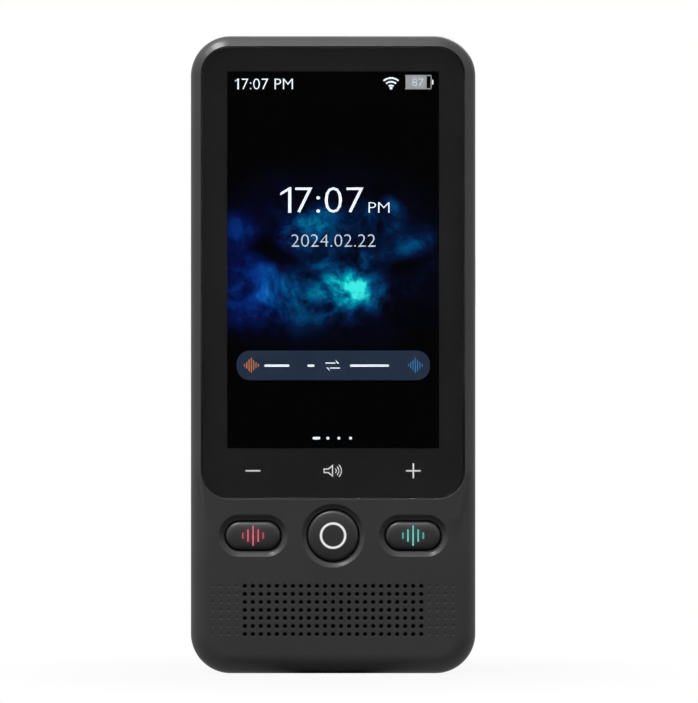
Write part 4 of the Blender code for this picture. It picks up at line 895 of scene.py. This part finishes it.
add_node(tree, "ShaderNodeOutputMaterial", {"Surface": shader.outputs[0]})


def dress(material, *nodes):
    """The CAD nodes keep their shape and take this material."""
    for node in nodes:
        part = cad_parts[node]
        part.data.materials.clear()
        part.data.materials.append(material)


dress(night, "lcd_panel")


# Screen marks: the readouts that the panel shows, as thin shining shapes in front of its picture.
# Time, date, radio and battery signs stand above, and the translation bar and the page dots below.
# Their places and sizes are pixels of the picture, which at_pixel and spot turn into real ones.
marks_front = 1.10 * mm
marks_back = 1.13 * mm
bar_front = 1.135 * mm
bar_back = 1.145 * mm
status_row = 82.6
clock_top, clock_foot = 187.5, 213.0
words_row = 365.6
bar_row = 365.3
dots_row = 438.0
radio_x, radio_foot = 391.0, 89.5
battery_x = 418.0
wave_step = 2.3
wave_heights = (2.8, 6.8, 11.6, 14.9, 9.8, 6.0, 2.8)


def at_pixel(x, y):
    """A place in the picture as x and z on the front."""
    return (x - middle_pixel_x) * pixel, (foot_pixel_y - y) * pixel


def lettering(words, left, right, top, bottom, thinned=0.008):
    """Words in the plain built-in letters, thinned, and filled into a box given in picture pixels."""
    curve = bpy.data.curves.new(words, "FONT")
    curve.body = words
    curve.resolution_u = 3
    curve.extrude = 1.0
    curve.offset = -thinned
    writing = bpy.data.objects.new(words, curve)
    mesh = writing.to_mesh()
    mesh.calc_loop_triangles()
    solid = np.array([vertex.co[:] for vertex in mesh.vertices])
    faces = np.array([triangle.vertices[:] for triangle in mesh.loop_triangles])
    share = (solid - solid.min(axis=0)) / (solid.max(axis=0) - solid.min(axis=0))
    writing.to_mesh_clear()
    bpy.data.objects.remove(writing)
    bpy.data.curves.remove(curve)
    x0, z0 = at_pixel(left, bottom)
    x1, z1 = at_pixel(right, top)
    across, up = x0 + share[:, 0] * (x1 - x0), z0 + share[:, 1] * (z1 - z0)
    return in_space(face, across, up, marks_front + share[:, 2] * (marks_back - marks_front)), faces


def spot(x, y, width, height, radius=0.0):
    """A plate about a place in the picture, its sizes in picture pixels."""
    return box_loop(*at_pixel(x, y), width * pixel, height * pixel, radius * pixel)


screen_white = lit("screen white", (0.80, 0.86, 0.92), 0.86, (0.72, 0.79, 0.86))
screen_grey = lit("screen grey", (0.30, 0.30, 0.31), 0.80, (0.26, 0.26, 0.27))
screen_navy = lit("screen navy", (0.0050, 0.0140, 0.0370), 0.9, (0.0042, 0.0120, 0.0310))
screen_orange = lit("screen orange", (0.62, 0.22, 0.05), 0.8, (0.46, 0.15, 0.03))
screen_blue = lit("screen blue", (0.03, 0.22, 0.46), 0.8, (0.02, 0.15, 0.34))

def figure_one(left, stem, right, top, bottom, flag):
    """A figure one with a flag: a stem between two pixels across, and a slanted stroke down to its left."""
    corners = [(stem, bottom), (right, bottom), (right, top), (stem + (right - stem) * 0.4, top),
               (left, top + flag), (left, top + flag * 1.45), (stem, top + flag * 0.62)]
    return outline([at_pixel(x, y) for x, y in corners])


words = [
    lettering("7:07 PM", 241.9, 293.0, 79.0, 89.8, 0.012),
    lettering("7:07", 295.4, 363.5, clock_top, clock_foot, 0.014),
    lettering("PM", 368.5, 389.5, 202.5, clock_foot, 0.014),
]
loops = [arc_loop(*at_pixel(radio_x, radio_foot), radius * pixel, 1.6 * pixel, 48, 132)
          for radius in (3.6, 7.3, 11.0)]
loops.append(figure_one(235.2, 237.6, 239.1, 79.0, 89.8, 2.2))
loops.append(figure_one(280.5, 288.3, 291.4, clock_top, clock_foot, 5.6))
loops += [spot(radio_x, 88.6, 2.8, 2.8, 1.35), spot(432.6, status_row, 1.3, 4.6)]
loops += [spot(330.5, 363.0, 10.0, 1.1), spot(335.0, 368.0, 10.0, 1.1)]
loops += [outline([at_pixel(335.3, 359.6), at_pixel(339.2, 363.55), at_pixel(337.2, 363.55)])]
loops += [outline([at_pixel(330.2, 371.4), at_pixel(326.3, 367.45), at_pixel(328.3, 367.45)])]
loops += [spot(x, words_row, width, 2.2, 1.05) for x, width in ((277.0, 25.0), (311.0, 7.0), (369.5, 39.0))]
loops += [spot(316.5, dots_row, 7.6, 2.6, 1.2)]
loops += [spot(x, dots_row, 2.9, 2.9, 1.4) for x in (327.9, 338.9, 350.6)]
add_piece("screen_white_marks", words + plates(loops, marks_front, marks_back), screen_white, "chassis")
screen_silver = lit("screen silver", (0.50, 0.56, 0.64), 0.80, (0.44, 0.50, 0.58))
add_piece("screen_date_marks", [lettering("2024.02.22", 291.5, 375.5, 234.5, 247.0, 0.014)], screen_silver,
          "chassis")
battery_case = [spot(battery_x, 76.0, 26.0, 1.0), spot(battery_x, 89.2, 26.0, 1.0)]
battery_case += [spot(battery_x + 13.0, status_row, 1.0, 12.2), spot(416.0, status_row, 21.0, 12.0)]
add_piece("screen_battery_mark", plates(battery_case, bar_front, bar_back), screen_grey,
          "chassis")
add_piece("screen_battery_digits", [lettering("87", 412.0, 423.5, 79.0, 86.5)], screen_silver, "chassis")
add_piece("screen_translation_bar", plates([spot(333.3, bar_row, 193.0, 29.6, 13.2)], bar_front, bar_back),
          screen_navy, "chassis")
for name, x, material, heights in (("orange", 251.6, screen_orange, wave_heights),
                                   ("blue", 415.2, screen_blue, wave_heights[::-1])):
    loops = [spot(x + wave_step * step, bar_row, 0.8, height, 0.35) for step,
             height in zip(range(-3, 4), heights)]
    add_piece(f"screen_{name}_wave", plates(loops, marks_front, marks_back), material, "chassis")


# Key caps: three moulded keys with a soft crown. The voice keys are pierced by five slots for their
# light bars, and the home key has a groove for its ring. A flange holds each behind the deck.
cap_front = 0.3 * mm
crown_width = 0.72 * mm
crown_drop = 0.50 * mm
flange_front = 3.0 * mm
flange_back = 3.8 * mm
flange_margin = 0.8 * mm
stem_radius = 1.2 * mm
stem_end = 4.8 * mm
bar_width = 0.45 * mm
bar_pitch = 1.2 * mm
bar_heights = (1.5 * mm, 2.9 * mm, 4.8 * mm, 2.9 * mm, 1.5 * mm)
slot_clearance = 0.05 * mm
slot_depth = 1.4 * mm
ring_outer = 3.2 * mm
ring_inner = 2.5 * mm
ring_depth = 0.5 * mm
doming = 0.40 * mm
halo_width = 3.6 * mm
halo_height = 2.7 * mm
glow_red = (0.075, 0.003, 0.010)
glow_teal = (0.002, 0.036, 0.033)


def key_material(name, centre, radius, straight, halo=None):
    """Charcoal plastic that domes towards the rim, with the glow of the light bars round the middle.

    The dome's height falls as the cube of the distance from the cap's middle line, as a share of its radius.
    """
    material, tree = new_tree(name)
    place = add_node(tree, "ShaderNodeTexCoord").outputs["Object"]
    seat = add_node(tree, "ShaderNodeMapping", {"Vector": place,
                                                "Location": (-centre[0], 0, -centre[1])}).outputs[0]
    split = add_node(tree, "ShaderNodeSeparateXYZ", {0: seat})
    across = calculate(tree, "ABSOLUTE", split.outputs["X"])
    side = calculate(tree, "MAXIMUM", calculate(tree, "SUBTRACT", across, straight), 0.0)
    away = add_node(tree, "ShaderNodeCombineXYZ", {0: side, 1: 0.0, 2: split.outputs["Z"]})
    length = add_node(tree, "ShaderNodeVectorMath", {0: away.outputs[0]}, operation="LENGTH")
    share = calculate(tree, "DIVIDE", length.outputs["Value"], radius)
    grain = moulded_grain(tree, 6000.0, 90.0)
    dome = calculate(tree, "MULTIPLY", calculate(tree, "POWER", share, 3.0), -doming)
    fine = calculate(tree, "MULTIPLY", grain.outputs["Grain"], 0.0015 * mm)
    bumps = add_node(tree, "ShaderNodeBump", {"Strength": 1.0, "Distance": 1.0,
                                              "Height": calculate(tree, "ADD", dome, fine)})
    paint = mixed(tree, remap(tree, grain.outputs["Patches"], 0.3, 0.7), (0.026, 0.026, 0.027),
                  (0.030, 0.030, 0.031))
    shader = add_node(tree, "ShaderNodeBsdfPrincipled", {
        "Base Color": paint, "Normal": bumps.outputs["Normal"],
        "Roughness": remap(tree, grain.outputs["Grain"], 0.3, 0.7, 0.36, 0.46),
    })
    if halo:
        oval = add_node(tree, "ShaderNodeVectorMath", {0: seat, 1: (1 / halo_width, 0, 1 / halo_height)},
                        operation="MULTIPLY")
        reach = add_node(tree, "ShaderNodeVectorMath", {0: oval.outputs[0]}, operation="LENGTH")
        glow = remap(tree, reach.outputs["Value"], 1.0, 0.1, 0.0, 1.0, True)
        tree.links.new(mixed(tree, glow, (0.0, 0.0, 0.0), halo), shader.inputs["Emission Color"])
        shader.inputs["Emission Strength"].default_value = 1.0
    add_node(tree, "ShaderNodeOutputMaterial", {"Surface": shader.outputs[0]})
    return material


def key_cap(name, body_name, centre, radius, straight, material, cuts, cut_depth):
    """A crowned cap over a flange and a stem. The cuts are groups of loops let into its flat middle."""
    loop = key_loop(radius, straight)
    crown = [(-crown_width - flat_lead / 2, cap_front)]
    crown += [(outset - crown_width, cap_front + drop)
              for outset, drop in [(crown_width * math.sin(angle), crown_drop * (1 - math.cos(angle)))
                                   for angle in np.linspace(0, np.pi / 2, 9)]]
    profile = crown + [(0, cap_front + crown_drop + flat_lead), (0, flange_front),
                       (flange_margin, flange_front),
                       (flange_margin, flange_back)]
    stem = rounded_loop(stem_radius, stem_radius, stem_radius, 8)
    patches = [band(face, loop, profile, centre), band(face, stem, [(0, flange_back), (0, stem_end)], centre)]
    patches.append(field(face, [shifted(loop, flange_margin, centre), shifted(stem, 0, centre)], flange_back))
    patches.append(field(face, [shifted(stem, 0, centre)], stem_end))
    patches.append(field(face, [shifted(loop, -crown_width - flat_lead / 2, centre)]
                         + [shifted(hole, 0, centre) for group in cuts for hole in group], cap_front))
    for group in cuts:
        patches += [band(face, hole, [(0, cap_front), (0, cap_front + cut_depth)], centre) for hole in group]
        patches.append(field(face, [shifted(hole, 0, centre) for hole in group], cap_front + cut_depth))
    add_piece(name + "_shell", patches, material, body_name, [name])


bars = []
for step, height in zip(range(-2, 3), bar_heights):
    points, outward = rounded_loop(bar_width / 2 + slot_clearance, height / 2 + slot_clearance,
                                   bar_width / 2 + slot_clearance, 4)
    bars.append([(points + (step * bar_pitch, 0), outward)])
for name, x, halo in (("left_voice_key", -voice_x, glow_red), ("right_voice_key", voice_x, glow_teal)):
    plastic = key_material(name + " plastic", (x, key_row), voice_radius, voice_straight, halo)
    key_cap(name + "_cap", name, (x, key_row), voice_radius, voice_straight, plastic, bars, slot_depth)
ring_loops = [rounded_loop(radius, radius, radius, 20) for radius in (ring_outer + slot_clearance / 2,
                                                                      ring_inner - slot_clearance / 2)]
plastic = key_material("home key plastic", (0, key_row), home_radius, 0.0)
key_cap("home_key_cap", "home_key", (0, key_row), home_radius, 0, plastic, [ring_loops], ring_depth)


def from_bars(centre_x):
    """The distance from the nearest of the five bars, as a share of half a bar's width."""
    def across(tree):
        place = add_node(tree, "ShaderNodeTexCoord").outputs["Object"]
        split = add_node(tree, "ShaderNodeSeparateXYZ", {0: place})
        start = calculate(tree, "SUBTRACT", split.outputs["X"], centre_x - 2.5 * bar_pitch)
        within = calculate(tree, "MODULO", start, bar_pitch)
        away = calculate(tree, "ABSOLUTE", calculate(tree, "SUBTRACT", within, bar_pitch / 2))
        off = calculate(tree, "ABSOLUTE", calculate(tree, "SUBTRACT", split.outputs["X"], centre_x))
        return calculate(tree, "MAXIMUM", calculate(tree, "DIVIDE", away, bar_width / 2),
                         calculate(tree, "DIVIDE", off, 2.9 * bar_pitch))
    return across


def from_ring(tree):
    """The distance from the ring's middle line, as a share of half its width."""
    place = add_node(tree, "ShaderNodeTexCoord").outputs["Object"]
    seat = add_node(tree, "ShaderNodeMapping", {"Vector": place, "Location": (0, 0, -key_row),
                                                "Scale": (1, 0, 1)})
    length = add_node(tree, "ShaderNodeVectorMath", {0: seat.outputs[0]}, operation="LENGTH")
    off = calculate(tree, "SUBTRACT", length.outputs["Value"], (ring_outer + ring_inner) / 2)
    return calculate(tree, "DIVIDE", calculate(tree, "ABSOLUTE", off), (ring_outer - ring_inner) / 2)


dress(lit("red light guide", (0.66, 0.16, 0.21), 0.40, (0.56, 0.10, 0.15), from_bars(-voice_x)),
      "left_voice_key_light_guide")
dress(lit("teal light guide", (0.20, 0.60, 0.57), 0.40, (0.13, 0.50, 0.47), from_bars(voice_x)),
      "right_voice_key_light_guide")
dress(lit("white ring inlay", (0.80, 0.80, 0.79), 0.36, (0.72, 0.72, 0.71), from_ring), "home_key_ring")


# Edge parts: the power key on the right, the card tray on the left and the charging socket on top.
# The key and the tray are moulded like the housing and slightly smoother from handling.
edge_plastic = grained("edge key plastic", (0.024, 0.024, 0.025), (0.029, 0.029, 0.030), 0.38, 0.05, 5200.0,
                       0.004 * mm)
dress(edge_plastic, "power_key_cap", "card_tray")
socket_steel = grained("drawn socket steel", (0.46, 0.46, 0.47), (0.56, 0.56, 0.57), 0.30, 0.06, 1800.0,
                       0.002 * mm, 1.0)
dress(socket_steel, "usb_c_receptacle")


# Camera and flash: dark coated glass over the barrel, with the lens's rings seen through it, and a
# clear yellowish lens with fine ribs over the light.
def ringed(name, centre, radius, stops, roughness, coat):
    """A round window whose colour is set by the distance from its middle, as a share of its radius."""
    material, tree = new_tree(name)
    place = add_node(tree, "ShaderNodeTexCoord").outputs["Object"]
    seat = add_node(tree, "ShaderNodeMapping", {"Vector": place, "Location": (centre[0], 0, centre[1]),
                                                "Scale": (radius, 1e6, radius)}, vector_type="TEXTURE")
    away = add_node(tree, "ShaderNodeVectorMath", {0: seat.outputs[0]}, operation="LENGTH")
    grain = moulded_grain(tree, 2400.0, 200.0)
    shader = add_node(tree, "ShaderNodeBsdfPrincipled", {
        "Base Color": ramp(tree, away.outputs["Value"], stops), "Coat Weight": coat, "Coat Roughness": 0.02,
        "Roughness": remap(tree, grain.outputs["Patches"], 0.3, 0.7, roughness, roughness + 0.06),
    })
    add_node(tree, "ShaderNodeOutputMaterial", {"Surface": shader.outputs[0]})
    return material


dark = (0.004, 0.004, 0.005)
dress(ringed("camera window", camera_middle, 4.6 * mm, (
    (0.0, (0.030, 0.040, 0.120)), (0.20, (0.006, 0.008, 0.030)), (0.27, (0.100, 0.110, 0.160)),
    (0.31, dark), (0.46, (0.020, 0.020, 0.026)), (0.50, (0.200, 0.200, 0.210)), (0.53, dark),
    (0.74, (0.010, 0.010, 0.012)), (0.78, (0.110, 0.110, 0.115)), (0.81, dark), (1.0, dark)), 0.10, 0.5),
    "camera_window")
dress(ringed("flash lens", flash_middle, 2.2 * mm, (
    (0.0, (0.78, 0.70, 0.34)), (0.30, (0.74, 0.66, 0.30)), (0.36, (0.62, 0.60, 0.44)),
    (0.5, (0.72, 0.70, 0.58)),
    (0.58, (0.56, 0.55, 0.48)), (0.72, (0.74, 0.73, 0.66)), (0.80, (0.58, 0.57, 0.52)),
    (1.0, (0.70, 0.69, 0.64))),
    0.16, 0.8), "flash_lens")


# Inner parts: made once for all of a kind. Steel cans and screws, a cast frame, green boards with
# copper tracks, black chips, amber film, a foil battery and the speaker's paper, magnet and coil.
def striped(name, ground, line, scale, axis, width, roughness, metallic=0.0, cross=False, bump=0.01 * mm):
    """Fine straight lines over a ground: one set along an axis, and a second across it where asked for."""
    material, tree = new_tree(name)
    place = add_node(tree, "ShaderNodeTexCoord").outputs["Object"]
    share = None
    for direction in (axis, {"X": "Z", "Z": "X", "Y": "X"}[axis])[:2 if cross else 1]:
        wave = add_node(tree, "ShaderNodeTexWave", {"Vector": place, "Scale": scale, "Distortion": 0.0},
                        bands_direction=direction)
        lines = remap(tree, wave.outputs["Fac"], 1 - width, 1 - width * 0.6)
        share = lines if share is None else calculate(tree, "MAXIMUM", share, lines)
    grain = moulded_grain(tree, 3000.0, 120.0)
    patchy = mixed(tree, remap(tree, grain.outputs["Patches"], 0.3, 0.7), ground,
                   tuple(c * 0.8 for c in ground))
    bumps = add_node(tree, "ShaderNodeBump", {"Strength": 0.6, "Distance": bump, "Height": share})
    shader = add_node(tree, "ShaderNodeBsdfPrincipled", {
        "Base Color": mixed(tree, share, patchy, line), "Normal": bumps.outputs["Normal"],
        "Roughness": remap(tree, grain.outputs["Grain"], 0.3, 0.7, roughness - 0.05, roughness + 0.05),
        "Metallic": metallic,
    })
    add_node(tree, "ShaderNodeOutputMaterial", {"Surface": shader.outputs[0]})
    return material


steel = grained("stamped steel", (0.50, 0.50, 0.51), (0.62, 0.62, 0.63), 0.34, 0.08, 1500.0, 0.003 * mm, 1.0)
dress(steel, *[f"mid_frame_screw_{end}_{side}" for end in ("lower", "upper") for side in ("left", "right")])
dress(steel, *[f"{kind}_screw_{side}" for kind in ("main_board", "key_board", "speaker")
               for side in ("left", "right")])
dress(steel, "processor_shield_can", "radio_shield_can", "card_socket", "power_switch_bracket")
alloy = grained("cast frame alloy", (0.40, 0.40, 0.41), (0.50, 0.50, 0.50), 0.46, 0.08, 900.0, 0.01 * mm,
                0.9, 30.0)
dress(alloy, "mid_frame", "lcd_backlight_tray")
board = striped("green board", (0.012, 0.070, 0.030), (0.050, 0.150, 0.060), 260.0, "X", 0.18, 0.36, 0.0,
                True,
                0.015 * mm)
dress(board, "main_board", "key_board")
epoxy = grained("chip epoxy", (0.012, 0.012, 0.013), (0.022, 0.022, 0.023), 0.55, 0.08, 2600.0, 0.006 * mm)
dress(epoxy, "processor_chip", "radio_chip", "rear_camera_module", "lower_microphone", "upper_microphone",
      "speaker_basket")
film = striped("amber film", (0.34, 0.13, 0.025), (0.62, 0.34, 0.14), 420.0, "X", 0.45, 0.30, 0.1)
dress(film, "lcd_flex_cable", "key_flex_cable", "wireless_antenna", "cellular_antenna")
pouch = grained("battery pouch", (0.26, 0.27, 0.28), (0.40, 0.41, 0.42), 0.36, 0.10, 700.0, 0.03 * mm, 0.6,
                40.0)
dress(pouch, "battery")
nylon = grained("connector nylon", (0.55, 0.53, 0.47), (0.64, 0.62, 0.56), 0.50, 0.06, 1800.0, 0.004 * mm)
dress(nylon, "battery_connector", "flash_led")
switch_black = grained("switch body", (0.030, 0.030, 0.032), (0.045, 0.045, 0.047), 0.42, 0.08, 2200.0,
                       0.004 * mm)
switches = [f"{name}_switch" for name in ("left_voice", "home", "right_voice", "power")]
dress(switch_black, *switches)
plunger_nylon = grained("plunger nylon", (0.42, 0.07, 0.05), (0.52, 0.10, 0.07), 0.45, 0.06, 1800.0,
                        0.004 * mm)
dress(plunger_nylon, *[f"{name}_plunger" for name in switches])
foam = grained("black foam", (0.012, 0.012, 0.012), (0.026, 0.026, 0.026), 0.90, 0.08, 2600.0, 0.05 * mm)
dress(foam, "glass_adhesive_frame", "speaker_gasket")
weave = striped("woven speaker cloth", (0.0015, 0.0015, 0.0015), (0.012, 0.012, 0.012), 1400.0, "X", 0.5,
                0.8, 0.0,
                True, 0.04 * mm)
dress(weave, "speaker_dust_mesh")
paper = grained("pressed cone paper", (0.020, 0.019, 0.018), (0.050, 0.047, 0.043), 0.85, 0.08, 1200.0,
                0.03 * mm)
dress(paper, "speaker_diaphragm")
nickel = grained("plated magnet", (0.56, 0.54, 0.50), (0.66, 0.64, 0.60), 0.26, 0.06, 1200.0, 0.002 * mm, 1.0)
dress(nickel, "speaker_magnet")
copper = striped("wound copper wire", (0.52, 0.22, 0.10), (0.80, 0.42, 0.24), 1500.0, "Y", 0.5, 0.28, 1.0)
dress(copper, "speaker_voice_coil")
